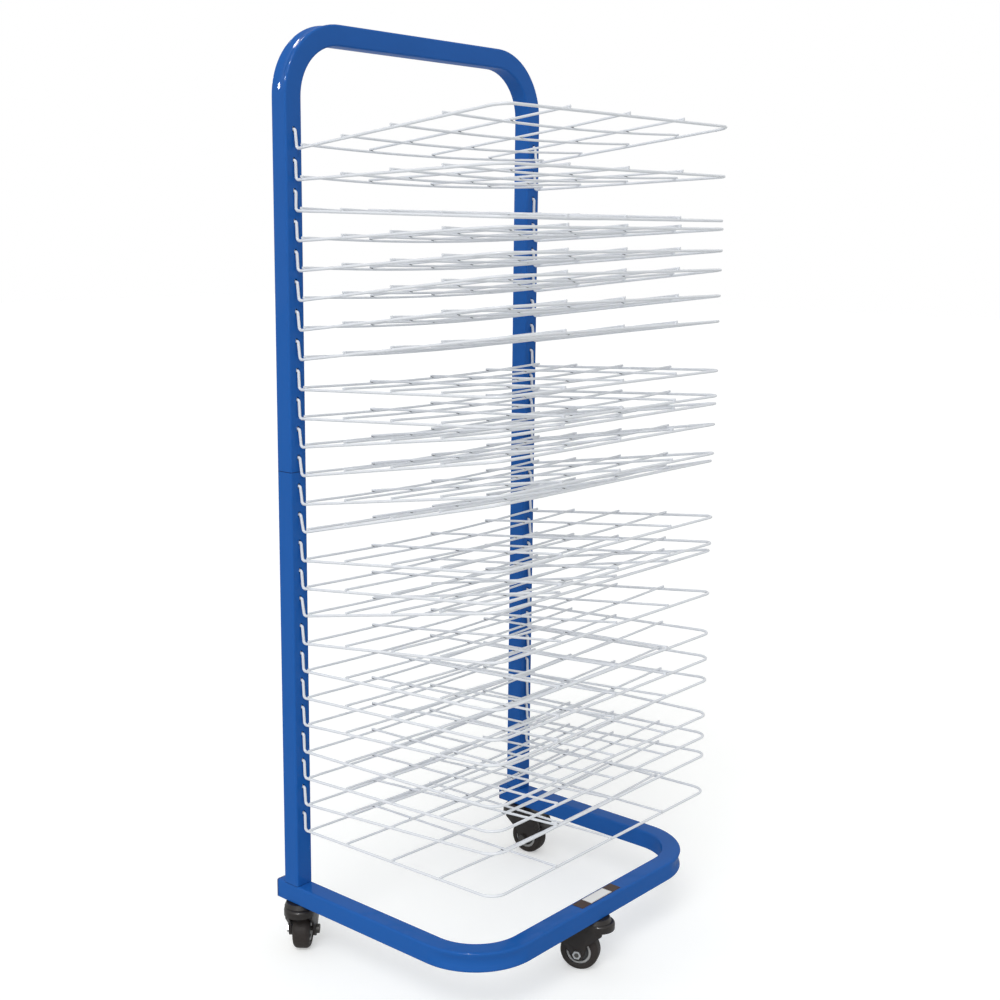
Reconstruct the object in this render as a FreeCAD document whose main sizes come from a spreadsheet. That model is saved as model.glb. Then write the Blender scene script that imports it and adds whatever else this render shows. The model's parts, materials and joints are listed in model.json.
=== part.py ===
"""Mobile drying rack for paintings, with hook-in wire trays on a bent square-tube frame.

Frame of the model, in millimetres: the origin lies on the floor, midway between the two posts
and under their front faces.  +X points forward over the trays, +Y to the rack's left, +Z up.
"""
import FreeCAD
import Part
import math
import os
import re
import Sketcher
from FreeCAD import Placement, Rotation, Vector

# Driving dimensions: alias, value, what it is.
SIZES = [
    ("tube_side", 25, "outside of the square frame tube"),
    ("tube_wall", 1.5, "wall of the frame tube"),
    ("tube_corner", 2.5, "outer corner radius of the frame tube"),
    ("bend_radius", 75, "centreline radius of the four frame bends"),
    ("frame_width", 465, "outer width of arch and base"),
    ("rack_height", 1159, "top of the arch above the floor"),
    ("front_reach", 312, "front bar's outer face ahead of the posts"),
    ("rear_overhang", 14, "legs with their caps behind the posts"),
    ("fit_gap", 0.2, "clearance all round a piece inside a tube"),
    ("cap_plate", 2, "plate of a leg cap"),
    ("cap_plug", 14, "length of a leg cap's plug"),
    ("spigot_length", 120, "channel that joins arch and lower post"),
    ("spigot_wall", 1.5, "wall of that channel"),
    ("screw_inset", 32, "joint screw to the joint line"),
    ("screw_size", 5, "thread of a joint screw"),
    ("screw_shank", 7, "length of a joint screw under its head"),
    ("screw_head", 9.5, "head diameter of a joint screw"),
    ("screw_head_height", 2.7, "head height of a joint screw"),
    ("screw_head_rounding", 1.6, "rounding of a joint screw's head"),
    ("screw_socket", 3.4, "hexagon socket of a joint screw, over its corners"),
    ("screw_hole_gap", 0.3, "radial clearance of a joint screw in the tube"),
    ("insert_height", 12, "threaded insert that holds a castor stem"),
    ("thread_gap", 0.05, "radial clearance in a thread"),
    ("label_length", 80, "label on the front bar"),
    ("label_width", 17, "label across the front bar"),
    ("label_offset", 2, "label's middle to the left of the rack's middle"),
    ("label_setback", 1, "label's middle behind the middle of the bar"),
    ("label_thickness", 0.4, "label"),
    ("tray_count", 25, "number of trays"),
    ("upper_trays", 12, "trays that hang on the arch"),
    ("tray_pitch", 35, "height from tray to tray"),
    ("first_hole_height", 1034.5, "top pair of hook holes above the floor"),
    ("hook_slot_width", 4.2, "width of a hook hole, an upright slot"),
    ("hook_slot_height", 7.4, "height of a hook hole"),
    ("frame_wire", 3.5, "diameter of a tray's outer wire"),
    ("grid_wire", 3, "diameter of a tray's inner wires"),
    ("hook_seat_gap", 0.375, "hook wire to the post's wall"),
    ("hook_bend", 2.5, "centreline radius of the bends in a hook"),
    ("hook_leg", 12, "height of a hook's inner leg"),
    ("hook_drop", 22.5, "hook hole down to the side wire"),
    ("heel_bend", 4, "bend from hook to side wire"),
    ("tray_reach", 317.5, "front wire ahead of the posts"),
    ("tray_corner", 20, "front corner radius of a tray"),
    ("rear_wire_reach", 13, "rear cross wire ahead of the posts"),
    ("cross_wire_reach", 80, "first inner cross wire ahead of the posts"),
    ("cross_wire_step", 78, "inner cross wire to the next"),
    ("depth_wire_step", 110, "depth wire to the next"),
    ("wire_overhang", 0.5, "inner wire past the wire that carries it"),
    ("crank_bend", 20, "bends of a depth wire on its way down to the front wire"),
    ("crank_start", 6, "crank of a depth wire ahead of the last cross wire"),
    ("crank_end", 9, "crank of a depth wire behind the front wire"),
    ("castor_height", 73, "floor to the underside of the frame"),
    ("castor_trail", 19, "swivel axis to wheel axle"),
    ("wheel_diameter", 50, "castor wheel with its tyre"),
    ("tyre_width", 22, "tread of a castor"),
    ("tyre_shoulder", 4, "shoulder radius of a tyre"),
    ("hub_diameter", 32.5, "hub, inside the tyre"),
    ("hub_width", 20, "hub along its axle"),
    ("hub_rim", 3.5, "rim of the hub"),
    ("hub_recess", 5, "depth of the dish in each hub face"),
    ("hub_boss", 16, "boss round the axle"),
    ("axle_diameter", 6, "axle bolt"),
    ("running_gap", 0.05, "radial clearance of a turning fit"),
    ("axle_head", 12, "diameter of the axle bolt's head"),
    ("axle_head_height", 4, "height of the axle bolt's head"),
    ("axle_nut", 10, "across flats of the axle nut"),
    ("axle_nut_height", 3, "height of the axle nut"),
    ("crown_diameter", 40, "round head of a castor"),
    ("crown_thickness", 10, "fork crown over the wheel"),
    ("crown_offset", 4.5, "front of the crown ahead of its round middle"),
    ("crown_rounding", 3.5, "upper edge of the crown's front"),
    ("race_height", 5.4, "fixed race above the crown"),
    ("race_top_diameter", 35, "top of the fixed race"),
    ("bearing_gap", 0.3, "fixed race to fork crown"),
    ("ball_diameter", 4, "swivel bearing ball"),
    ("ball_circle", 29, "pitch circle of the balls"),
    ("ball_gap", 0.05, "ball to its groove"),
    ("stem_diameter", 10, "castor stem"),
    ("stem_hole_gap", 0.4, "radial clearance of a stem in the frame"),
    ("stem_lead", 3, "rear castor stem ahead of the middle of its post"),
    ("rivet_diameter", 18, "riveted lower end of a stem"),
    ("rivet_height", 2.7, "riveted lower end of a stem"),
    ("fork_inner", 27, "gap between the cheeks of a fork"),
    ("cheek_thickness", 4, "cheek of a fork"),
    ("cheek_end", 9, "radius of a cheek round the axle"),
    ("cheek_nose", 12, "leading edge of a cheek ahead of the swivel axis"),
    ("cheek_nose_drop", 4, "leading edge of a cheek below the crown"),
    ("cheek_top_drop", 2, "upper edge of the cheeks below the top of the crown"),
    ("cheek_back", 6, "level upper edge of a cheek behind the axle"),
    ("waist_height", 12, "waist of a cheek above the axle"),
    ("waist_reach", 3, "waist of a cheek ahead of its round end"),
    ("pedal_pivot_reach", 41, "brake pivot behind the swivel axis"),
    ("pedal_pivot_height", 47, "brake pivot above the floor"),
    ("pedal_pin", 5, "brake pedal pin"),
    ("pedal_boss", 9, "boss of the brake pedal"),
    ("pedal_width", 24, "brake pedal between the cheeks"),
    ("pedal_reach", 17, "brake pedal past its pivot"),
    ("pedal_plate", 3.5, "thickness of the brake pedal"),
    ("pedal_root", 6.8, "underside of the pedal's plate behind its pivot"),
    ("shoe_reach", 6.4, "brake shoe from its pivot"),
    ("hood_radius", 6.5, "cheek round the brake pivot"),
    ("hood_drop", 6, "cheek over the brake pivot below the top of the crown"),
    ("front_castor_yaw", -157, "direction in which the front castor trails"),
    ("left_castor_yaw", 6, "the same for the rear left castor"),
    ("right_castor_yaw", 128, "the same for the rear right castor"),
]
# Each hook sits in its hole with some play, so each tray rests at an angle of its own (degrees).
REST_TILTS = [7, 2.5, -1, 3.5, 5, 7, 7.5, 8, 3, 3.5, 8, 9.5, 9,
              13.5, 6.5, 6.5, 11, 7, 3.5, 3.5, 4.5, 2, 3, 4.5, 1.5]
BALLS_PER_RACE = 12
SHOE_ANGLE = 260       # brake shoe seen from its pivot, from the trailing direction (degrees)
PEDAL_DROOP = 20       # brake pedal below the level (degrees)
DIAGONAL = "0.7071"    # share of a radius across and down at a corner on the diagonal
CUT_PAST = "1"         # a cutting tool runs this far past the faces it cuts

REFERENCES = {alias: "Dim." + alias for alias, _, _ in SIZES}

doc = FreeCAD.newDocument("drying_rack")
sheet = doc.addObject("Spreadsheet::Sheet", "Dim")
nodes = []


def fill_sheet():
    """Write every driving dimension into the sheet under its alias."""
    rows = list(SIZES)
    count = next(value for alias, value, _ in SIZES if alias == "tray_count")
    for number in range(count):
        tilt = REST_TILTS[number % len(REST_TILTS)]
        rows.append((f"rest_tilt_{number + 1:02d}", tilt, "front of this tray up at rest"))
    for row, (alias, value, note) in enumerate(rows, 1):
        sheet.set(f"A{row}", alias)
        sheet.set(f"B{row}", str(value))
        sheet.setAlias(f"B{row}", alias)
        sheet.set(f"C{row}", note)
    doc.recompute()


def cells(expression):
    """Turn plain aliases in an expression into references to the sheet."""
    return re.sub(r"(?<![.\w])[a-z]\w*", lambda word: REFERENCES.get(word[0], word[0]), expression)


def num(expression):
    """Value of an expression of the sheet's cells."""
    result = sheet.evalExpression(cells(expression))
    return float(getattr(result, "Value", result))


def bind(thing, prop, expression):
    """Tie a property to the sheet's cells."""
    thing.setExpression(prop, cells(expression))


# Derived places, as expressions of the cells.
SPAN = "(frame_width - tube_side)"
HALF_SPAN = "((frame_width - tube_side) / 2)"
BORE = "(tube_side - 2 * tube_wall)"
INSIDE = "(tube_side - 2 * tube_wall - 2 * fit_gap)"
LEG_TOP = "(castor_height + tube_side)"
JOINT = "(first_hole_height - (upper_trays - 0.5) * tray_pitch)"
LOWER_TRAYS = "(tray_count - upper_trays)"
LAST_HOLE = "(first_hole_height - (tray_count - 1) * tray_pitch)"
RACE_BOTTOM = "(castor_height - race_height)"
CROWN_TOP = "(castor_height - race_height - bearing_gap)"
CROWN_BOTTOM = "(castor_height - race_height - bearing_gap - crown_thickness)"
WHEEL_RADIUS = "(wheel_diameter / 2)"
FORK_OUTER = "(fork_inner + 2 * cheek_thickness)"
POST_X = "(-tube_side / 2)"
BAR_X = "(front_reach - tube_side / 2)"
REAR_STEM_X = "(stem_lead - tube_side / 2)"


# ---- Part primitives ------------------------------------------------------------------------
def place(thing, x="0", y="0", z="0"):
    """Tie the place of an object to the cells."""
    for axis, expression in zip("xyz", (x, y, z)):
        bind(thing, "Placement.Base." + axis, expression)


def box(name, length, width, height, x="0", y="0", z="0"):
    """Box with its centre at x and y and its underside at z."""
    solid = doc.addObject("Part::Box", name)
    bind(solid, "Length", length)
    bind(solid, "Width", width)
    bind(solid, "Height", height)
    place(solid, f"({x}) - ({length}) / 2", f"({y}) - ({width}) / 2", z)
    return solid


def cylinder(name, radius, height, x="0", y="0", z="0", along="Z"):
    """Cylinder from x, y, z along an axis."""
    turns = {"X": Rotation(Vector(0, 1, 0), 90), "Y": Rotation(Vector(1, 0, 0), -90), "Z": Rotation()}
    solid = doc.addObject("Part::Cylinder", name)
    solid.Placement = Placement(Vector(), turns[along])
    bind(solid, "Radius", radius)
    bind(solid, "Height", height)
    place(solid, x, y, z)
    return solid


def fuse(name, parts):
    """Parts joined into one solid."""
    joined = doc.addObject("Part::MultiFuse", name)
    joined.Shapes = parts
    return joined


def cut(name, base, tools):
    """Base with the tools taken away."""
    result = doc.addObject("Part::Cut", name)
    result.Base = base
    result.Tool = tools[0] if len(tools) == 1 else fuse(name + "_tools", tools)
    return result


def group(name, parts):
    """Separate solids kept together."""
    collection = doc.addObject("Part::Compound", name)
    collection.Links = parts
    return collection


def hexagon(name, across, height, x, y, z):
    """Hexagonal nut blank along Y."""
    solid = doc.addObject("Part::Prism", name)
    solid.Placement = Placement(Vector(), Rotation(Vector(1, 0, 0), -90))
    solid.Polygon = 6
    bind(solid, "Circumradius", f"{across} / {math.sqrt(3):.6f}")
    bind(solid, "Height", height)
    place(solid, x, y, z)
    return solid


def rounded(name, base, radius, wanted):
    """Base with a fillet on those of its round edges that are wanted."""
    doc.recompute()
    result = doc.addObject("Part::Fillet", name)
    result.Base = base
    edges = [i for i, edge in enumerate(base.Shape.Edges, 1) if edge.Closed and wanted(edge)]
    if not edges:
        raise RuntimeError(f"{name} finds no edge to round")
    result.Edges = [(i, radius, radius) for i in edges]
    return result


def part_node(label, parts, x="0", y="0", z="0", turn=("0", "0", "1"), angle="0"):
    """A named sub-part of the rack: solids moved to their place and turned about an axis."""
    node = doc.addObject("Part::Compound", label)
    node.Label = label
    node.Links = parts
    vector = "create(<<vector>>; {}; {}; {})"
    spin = f"create(<<rotation>>; {vector.format(*turn)}; {angle})"
    bind(node, "Placement", f"create(<<placement>>; {vector.format(x, y, z)}; {spin})")
    nodes.append(node)
    return node


# ---- PartDesign helpers ---------------------------------------------------------------------
def sketch_on(body, name, role):
    """Sketch on one of the body's own origin planes."""
    sketch = body.newObject("Sketcher::SketchObject", name)
    support = next(f for f in body.Origin.OriginFeatures if f.Role == role)
    sketch.AttachmentSupport = [(support, "")]
    sketch.MapMode = "FlatFace"
    return sketch


def dimension(sketch, name, constraint, expression):
    """Add a driving constraint and tie it to the cells."""
    index = sketch.addConstraint(constraint)
    sketch.renameConstraint(index, name)
    bind(sketch, "Constraints." + name, expression)


def locate(sketch, name, geometry, point, x, y):
    """Tie a point of the sketch to its coordinates from the sketch's origin."""
    for kind, axis, expression in (("DistanceX", -2, x), ("DistanceY", -1, y)):
        value = num(expression)
        if abs(value) < 1e-9:
            sketch.addConstraint(Sketcher.Constraint("PointOnObject", geometry, point, axis))
        elif value > 0:
            constraint = Sketcher.Constraint(kind, -1, 1, geometry, point, value)
            dimension(sketch, f"{name}_{kind[-1]}", constraint, expression)
        else:
            constraint = Sketcher.Constraint(kind, geometry, point, -1, 1, -value)
            dimension(sketch, f"{name}_{kind[-1]}", constraint, f"-({expression})")


def rounded_square(sketch, tag, side, corner, x="0", y="0"):
    """Closed square with rounded corners about x, y."""
    half, radius = num(side) / 2, num(corner)
    centre_x, centre_y = num(x), num(y)
    flat = half - radius

    def at(dx, dy):
        return Vector(centre_x + dx, centre_y + dy, 0)

    first = sketch.GeometryCount
    sketch.addGeometry(Part.LineSegment(at(-flat, -half), at(flat, -half)))
    sketch.addGeometry(Part.LineSegment(at(half, -flat), at(half, flat)))
    sketch.addGeometry(Part.LineSegment(at(flat, half), at(-flat, half)))
    sketch.addGeometry(Part.LineSegment(at(-half, flat), at(-half, -flat)))
    for quarter, (dx, dy) in enumerate(((flat, -flat), (flat, flat), (-flat, flat), (-flat, -flat))):
        start = (quarter - 1) * math.pi / 2
        circle = Part.Circle(at(dx, dy), Vector(0, 0, 1), radius)
        sketch.addGeometry(Part.ArcOfCircle(circle, start, start + math.pi / 2))
    bottom, right, top, left = range(first, first + 4)
    arcs = range(first + 4, first + 8)
    add = sketch.addConstraint
    for line in (bottom, top):
        add(Sketcher.Constraint("Horizontal", line))
    for line in (right, left):
        add(Sketcher.Constraint("Vertical", line))
    sides = (bottom, right, top, left)
    for index, arc in enumerate(arcs):
        add(Sketcher.Constraint("Tangent", sides[index], 2, arc, 1))
        add(Sketcher.Constraint("Tangent", arc, 2, sides[(index + 1) % 4], 1))
    for arc in arcs[1:]:
        add(Sketcher.Constraint("Equal", arcs[0], arc))
    dimension(sketch, tag + "_corner", Sketcher.Constraint("Radius", arcs[0], radius), corner)
    width = Sketcher.Constraint("DistanceX", left, 1, right, 1, 2 * half)
    dimension(sketch, tag + "_width", width, side)
    height = Sketcher.Constraint("DistanceY", bottom, 1, top, 1, 2 * half)
    dimension(sketch, tag + "_height", height, side)
    locate(sketch, tag + "_right", right, 1, f"({x}) + ({side}) / 2", f"({y}) - ({side}) / 2 + ({corner})")


def circle(sketch, name, radius, x, y):
    """Circle about x, y."""
    shape = Part.Circle(Vector(num(x), num(y), 0), Vector(0, 0, 1), num(radius))
    index = sketch.addGeometry(shape)
    dimension(sketch, name, Sketcher.Constraint("Radius", index, num(radius)), radius)
    locate(sketch, name, index, 3, x, y)


def slot(sketch, name, width, height, x, y):
    """Upright slot with round ends about x, y."""
    radius, half = num(width) / 2, (num(height) - num(width)) / 2
    centre_x, centre_y = num(x), num(y)
    first = sketch.GeometryCount
    for rise, start in ((half, 0), (-half, math.pi)):
        end = Part.Circle(Vector(centre_x, centre_y + rise, 0), Vector(0, 0, 1), radius)
        sketch.addGeometry(Part.ArcOfCircle(end, start, start + math.pi))
    for side in (-1, 1):
        edge = centre_x + side * radius
        sketch.addGeometry(Part.LineSegment(Vector(edge, centre_y - side * half, 0),
                                            Vector(edge, centre_y + side * half, 0)))
    top, bottom, left, right = range(first, first + 4)
    for line, arc in ((left, bottom), (right, top)):
        sketch.addConstraint(Sketcher.Constraint("Tangent", line, 2, arc, 1))
    for arc, line in ((top, left), (bottom, right)):
        sketch.addConstraint(Sketcher.Constraint("Tangent", arc, 2, line, 1))
    sketch.addConstraint(Sketcher.Constraint("Equal", top, bottom))
    dimension(sketch, name + "_end", Sketcher.Constraint("Radius", top, radius), f"({width}) / 2")
    rise = f"(({height}) - ({width})) / 2"
    locate(sketch, name + "_top", top, 3, x, f"{y} + {rise}")
    locate(sketch, name + "_bottom", bottom, 3, x, f"{y} - {rise}")


def outline(sketch, name, corners):
    """Closed polygon through corners given as pairs of expressions."""
    points = [Vector(num(x), num(y), 0) for x, y in corners]
    count = len(points)
    for index in range(count):
        sketch.addGeometry(Part.LineSegment(points[index], points[(index + 1) % count]))
    for index, (x, y) in enumerate(corners):
        following = (index + 1) % count
        sketch.addConstraint(Sketcher.Constraint("Coincident", index, 2, following, 1))
        locate(sketch, f"{name}_{index + 1}", index, 1, x, y)


def u_path(body, name, role, start, rise, quarter_turn=0):
    """Centreline of a tube bent to a U: two legs from start, two bends and the bar at rise."""
    path = sketch_on(body, name, role)
    path.AttachmentOffset = Placement(Vector(), Rotation(Vector(0, 0, 1), quarter_turn))
    radius, half, low, high = num("bend_radius"), num(HALF_SPAN), num(start), num(rise)
    bend = high - radius
    normal = Vector(0, 0, 1)
    path.addGeometry(Part.LineSegment(Vector(-half, low, 0), Vector(-half, bend, 0)))
    left = Part.Circle(Vector(radius - half, bend, 0), normal, radius)
    path.addGeometry(Part.ArcOfCircle(left, math.pi / 2, math.pi))
    path.addGeometry(Part.LineSegment(Vector(radius - half, high, 0), Vector(half - radius, high, 0)))
    right = Part.Circle(Vector(half - radius, bend, 0), normal, radius)
    path.addGeometry(Part.ArcOfCircle(right, 0, math.pi / 2))
    path.addGeometry(Part.LineSegment(Vector(half, bend, 0), Vector(half, low, 0)))
    add = path.addConstraint
    for line in (0, 4):
        add(Sketcher.Constraint("Vertical", line))
    add(Sketcher.Constraint("Horizontal", 2))
    for joint in ((0, 2, 1, 2), (1, 1, 2, 1), (2, 2, 3, 2), (3, 1, 4, 1)):
        add(Sketcher.Constraint("Tangent", *joint))
    add(Sketcher.Constraint("Equal", 1, 3))
    dimension(path, "bend", Sketcher.Constraint("Radius", 1, radius), "bend_radius")
    locate(path, "left_end", 0, 1, f"-{HALF_SPAN}", start)
    locate(path, "right_end", 4, 2, HALF_SPAN, start)
    dimension(path, "rise", Sketcher.Constraint("DistanceY", 0, 1, 2, 1, high - low), f"{rise} - ({start})")
    return path


def bent_tube(body, name, path, role, start, x, y):
    """Hollow square tube along a U path; its section stands at the path's start."""
    spine = (path, [f"Edge{index}" for index in range(1, 6)])
    for kind, tag, side, corner in (
            ("AdditivePipe", "outside", "tube_side", "tube_corner"),
            ("SubtractivePipe", "bore", BORE, "(tube_corner - tube_wall)")):
        section = sketch_on(body, f"{name}_{tag}_section", role)
        bind(section, "AttachmentOffset.Base.z", start)
        rounded_square(section, tag, side, corner, x, y)
        pipe = body.newObject("PartDesign::" + kind, f"{name}_{tag}")
        pipe.Profile = section
        pipe.Spine = spine
        doc.recompute()


def pocket(body, name, sketch, forward=False, both=False):
    """Cut a sketch right through the body, backward from its plane unless told otherwise."""
    before = body.Shape.Volume
    hole = body.newObject("PartDesign::Pocket", name)
    hole.Profile = sketch
    hole.Type = "ThroughAll"
    hole.Reversed = forward
    hole.Midplane = both
    doc.recompute()
    if body.Shape.Volume > before - 1e-3:
        raise RuntimeError(f"{name} cuts nothing")
    return hole


def pad(body, name, sketch, length, both=False):
    """Raise a sketch to a length, on both sides of its plane if told."""
    feature = body.newObject("PartDesign::Pad", name)
    feature.Profile = sketch
    feature.Midplane = both
    bind(feature, "Length", length)
    doc.recompute()
    return feature


def hook_holes(body, name, sketch, count):
    """Row of hook holes up the front wall, one tray pitch apart."""
    first = pocket(body, name, sketch, forward=True)
    row = body.newObject("PartDesign::LinearPattern", name + "_row")
    row.Originals = [first]
    row.Direction = (sketch, ["V_Axis"])
    bind(row, "Length", f"({count} - 1) * tray_pitch")
    bind(row, "Occurrences", count)
    body.Tip = row
    doc.recompute()


# ---- Frame ----------------------------------------------------------------------------------
def make_base_frame():
    """U-shaped base tube, open to the rear, with the holes for the castor stems."""
    body = doc.addObject("PartDesign::Body", "base_tube")
    start = "(-tube_side / 2 - rear_overhang + cap_plate)"
    path = u_path(body, "base_path", "XY_Plane", start, "front_reach", -90)
    bent_tube(body, "base", path, "YZ_Plane", start, HALF_SPAN, "0")
    rear = sketch_on(body, "rear_stem_holes", "XY_Plane")
    radius = "stem_diameter / 2 + stem_hole_gap"
    circle(rear, "left", radius, "stem_lead", HALF_SPAN)
    circle(rear, "right", radius, "stem_lead", f"-{HALF_SPAN}")
    pocket(body, "rear_stem_bores", rear, both=True)
    front = sketch_on(body, "front_stem_hole", "XY_Plane")
    circle(front, "front", radius, "front_reach", "0")
    pocket(body, "front_stem_bore", front)
    part_node("base_frame", [body], POST_X, "0", "castor_height + tube_side / 2")


def make_arch():
    """Upper frame: two upper posts and the top bar bent from one tube."""
    body = doc.addObject("PartDesign::Body", "arch_tube")
    path = u_path(body, "arch_path", "YZ_Plane", "0", f"(rack_height - {JOINT} - tube_side / 2)")
    bent_tube(body, "arch", path, "XY_Plane", "0", "0", f"-{HALF_SPAN}")
    screws = sketch_on(body, "arch_screw_holes", "YZ_Plane")
    hooks = sketch_on(body, "arch_hook_holes", "YZ_Plane")
    for side, y in (("left", HALF_SPAN), ("right", f"-{HALF_SPAN}")):
        circle(screws, side, "screw_size / 2 + screw_hole_gap", y, "screw_inset")
        slot(hooks, side, "hook_slot_width", "hook_slot_height", y, "tray_pitch / 2")
    pocket(body, "arch_screw_bores", screws)
    hook_holes(body, "arch_hook_bores", hooks, "upper_trays")
    part_node("arch_frame", [body], POST_X, "0", JOINT)


def make_lower_posts():
    """Two straight posts from the legs up to the arch."""
    body = doc.addObject("PartDesign::Body", "post_tube")
    section = sketch_on(body, "post_section", "XY_Plane")
    rounded_square(section, "outside", "tube_side", "tube_corner")
    pad(body, "post_outside", section, f"{JOINT} - {LEG_TOP}")
    bore = sketch_on(body, "post_bore_section", "XY_Plane")
    rounded_square(bore, "bore", BORE, "(tube_corner - tube_wall)")
    pocket(body, "post_bore", bore, forward=True)
    screw = sketch_on(body, "post_screw_hole", "YZ_Plane")
    circle(screw, "screw", "screw_size / 2 + screw_hole_gap", "0", f"{JOINT} - {LEG_TOP} - screw_inset")
    pocket(body, "post_screw_bore", screw)
    hooks = sketch_on(body, "post_hook_hole", "YZ_Plane")
    slot(hooks, "hook", "hook_slot_width", "hook_slot_height", "0", f"{LAST_HOLE} - {LEG_TOP}")
    hook_holes(body, "post_hook_bores", hooks, LOWER_TRAYS)
    part_node("left_lower_post", [body], POST_X, HALF_SPAN, LEG_TOP)
    part_node("right_lower_post", [body], POST_X, f"-{HALF_SPAN}", LEG_TOP)


def make_spigots():
    """Channels inside the joint of arch and posts, open to the front so that the hooks pass."""
    body = doc.addObject("PartDesign::Body", "spigot_body")
    section = sketch_on(body, "spigot_section", "XY_Plane")
    rounded_square(section, "outside", INSIDE, "(tube_corner - tube_wall)")
    pad(body, "spigot_pad", section, "spigot_length", both=True)
    hollow = box("spigot_hollow", INSIDE, f"{INSIDE} - 2 * spigot_wall",
                 f"spigot_length + 2 * {CUT_PAST}", "spigot_wall", "0", f"-spigot_length / 2 - {CUT_PAST}")
    holes = [cylinder("spigot_thread_" + end, "screw_size / 2 + thread_gap", "tube_side / 2",
                      "-tube_side / 2", "0", height, "X")
             for end, height in (("upper", "screw_inset"), ("lower", "-screw_inset"))]
    channel = cut("spigot_channel", body, [hollow] + holes)
    part_node("left_spigot", [channel], POST_X, HALF_SPAN, JOINT)
    part_node("right_spigot", [channel], POST_X, f"-{HALF_SPAN}", JOINT)


def make_joint_screws():
    """Four button-head screws through the posts' rear walls into the spigots."""
    shank = cylinder("screw_thread", "screw_size / 2", "screw_shank", along="X")
    head = cylinder("screw_button", "screw_head / 2", "screw_head_height", "-screw_head_height", along="X")
    button = rounded("screw_rounded_button", head, num("screw_head_rounding"),
                     lambda edge: edge.CenterOfMass.x < -1e-3)
    socket = doc.addObject("Part::Prism", "screw_socket")
    socket.Placement = Placement(Vector(), Rotation(Vector(0, 1, 0), 90))
    bind(socket, "Circumradius", "screw_socket / 2")
    bind(socket, "Height", "screw_head_height / 2")
    place(socket, "-screw_head_height")
    screw = cut("joint_screw", fuse("screw_blank", [shank, button]), [socket])
    screws = []
    for side, y in (("left", HALF_SPAN), ("right", f"-{HALF_SPAN}")):
        for end, lift in (("upper", "screw_inset"), ("lower", "-screw_inset")):
            copy = group(f"joint_screw_{side}_{end}", [screw])
            place(copy, "-tube_side", y, f"{JOINT} + {lift}")
            screws.append(copy)
    part_node("joint_screws", screws)


def make_leg_caps():
    """Plugs that close the rear ends of the legs."""
    body = doc.addObject("PartDesign::Body", "cap_body")
    plate = sketch_on(body, "cap_plate_section", "YZ_Plane")
    rounded_square(plate, "plate", "tube_side", "tube_corner")
    pad(body, "cap_plate_pad", plate, "cap_plate")
    plug = sketch_on(body, "cap_plug_section", "YZ_Plane")
    rounded_square(plug, "plug", INSIDE, "(tube_corner - tube_wall)")
    pad(body, "cap_plug_pad", plug, "cap_plate + cap_plug")
    height = "castor_height + tube_side / 2"
    for side, y in (("left", HALF_SPAN), ("right", f"-{HALF_SPAN}")):
        part_node(side + "_leg_cap", [body], "-tube_side - rear_overhang", y, height)


def make_castor_inserts():
    """Threaded blocks in the posts' feet and in the front bar, into which the stems screw."""
    corner = "(tube_corner - tube_wall)"
    flat = f"({BORE} - 2 * {corner})"
    seats = (("left", POST_X, HALF_SPAN, LEG_TOP, "stem_lead", INSIDE),
             ("right", POST_X, f"-{HALF_SPAN}", LEG_TOP, "stem_lead", INSIDE),
             ("front", BAR_X, "0", "castor_height + tube_wall", "0", flat))
    inserts = []
    for side, x, y, z, thread_x, width in seats:
        body = doc.addObject("PartDesign::Body", side + "_castor_insert")
        section = sketch_on(body, side + "_insert_section", "XY_Plane")
        rounded_square(section, "outside", width, corner)
        pad(body, side + "_insert_pad", section, "insert_height")
        thread = sketch_on(body, side + "_insert_thread_hole", "XY_Plane")
        circle(thread, "thread", "stem_diameter / 2 + thread_gap", thread_x, "0")
        pocket(body, side + "_insert_thread", thread, forward=True)
        place(body, x, y, z)
        inserts.append(body)
    part_node("castor_inserts", inserts)


def make_label():
    """Plain label on top of the front bar."""
    strip = box("label_strip", "label_width", "label_length", "label_thickness")
    part_node("label_plate", [strip], f"{BAR_X} - label_setback", "label_offset", LEG_TOP)


# ---- Trays ----------------------------------------------------------------------------------
def bent_wire(points, bends, diameter):
    """Round wire along straight runs joined by tangent arcs of the given radii."""
    runs = []
    start = points[0]
    for index, radius in enumerate(bends, 1):
        back = (points[index - 1] - points[index]).normalize()
        ahead = (points[index + 1] - points[index]).normalize()
        half = back.getAngle(ahead) / 2
        setback = radius / math.tan(half)
        entry = points[index] + back * setback
        leave = points[index] + ahead * setback
        middle = points[index] + (back + ahead).normalize() * (radius / math.sin(half) - radius)
        if (entry - start).Length > 1e-6:
            runs.append(Part.LineSegment(start, entry).toShape())
        runs.append(Part.Arc(entry, middle, leave).toShape())
        start = leave
    runs.append(Part.LineSegment(start, points[-1]).toShape())
    direction = (points[1] - points[0]).normalize()
    section = Part.Wire(Part.Circle(points[0], direction, diameter / 2).toShape())
    return Part.Wire(runs).makePipe(Part.Face(section))


def tray_frame_wire():
    """Outer wire of a tray: hook, side, front, side and hook in one piece.

    The hinge axis, through the two hook holes, is the Y axis here.
    """
    half = num(HALF_SPAN)
    hook = num("tube_wall / 2 + frame_wire / 2 + hook_seat_gap")
    front = num("tray_reach + tube_wall / 2")
    drop, leg = num("hook_drop"), num("hook_leg")
    side = [Vector(-hook, half, leg), Vector(-hook, half, 0), Vector(hook, half, 0),
            Vector(hook, half, -drop), Vector(front, half, -drop)]
    mirrored = [Vector(point.x, -point.y, point.z) for point in reversed(side)]
    hook_bends = [num("hook_bend"), num("hook_bend"), num("heel_bend")]
    bends = hook_bends + [num("tray_corner")] * 2 + hook_bends[::-1]
    wire = doc.addObject("Part::Feature", "tray_frame_wire")
    wire.Shape = bent_wire(side + mirrored, bends, num("frame_wire"))
    return wire


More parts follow.
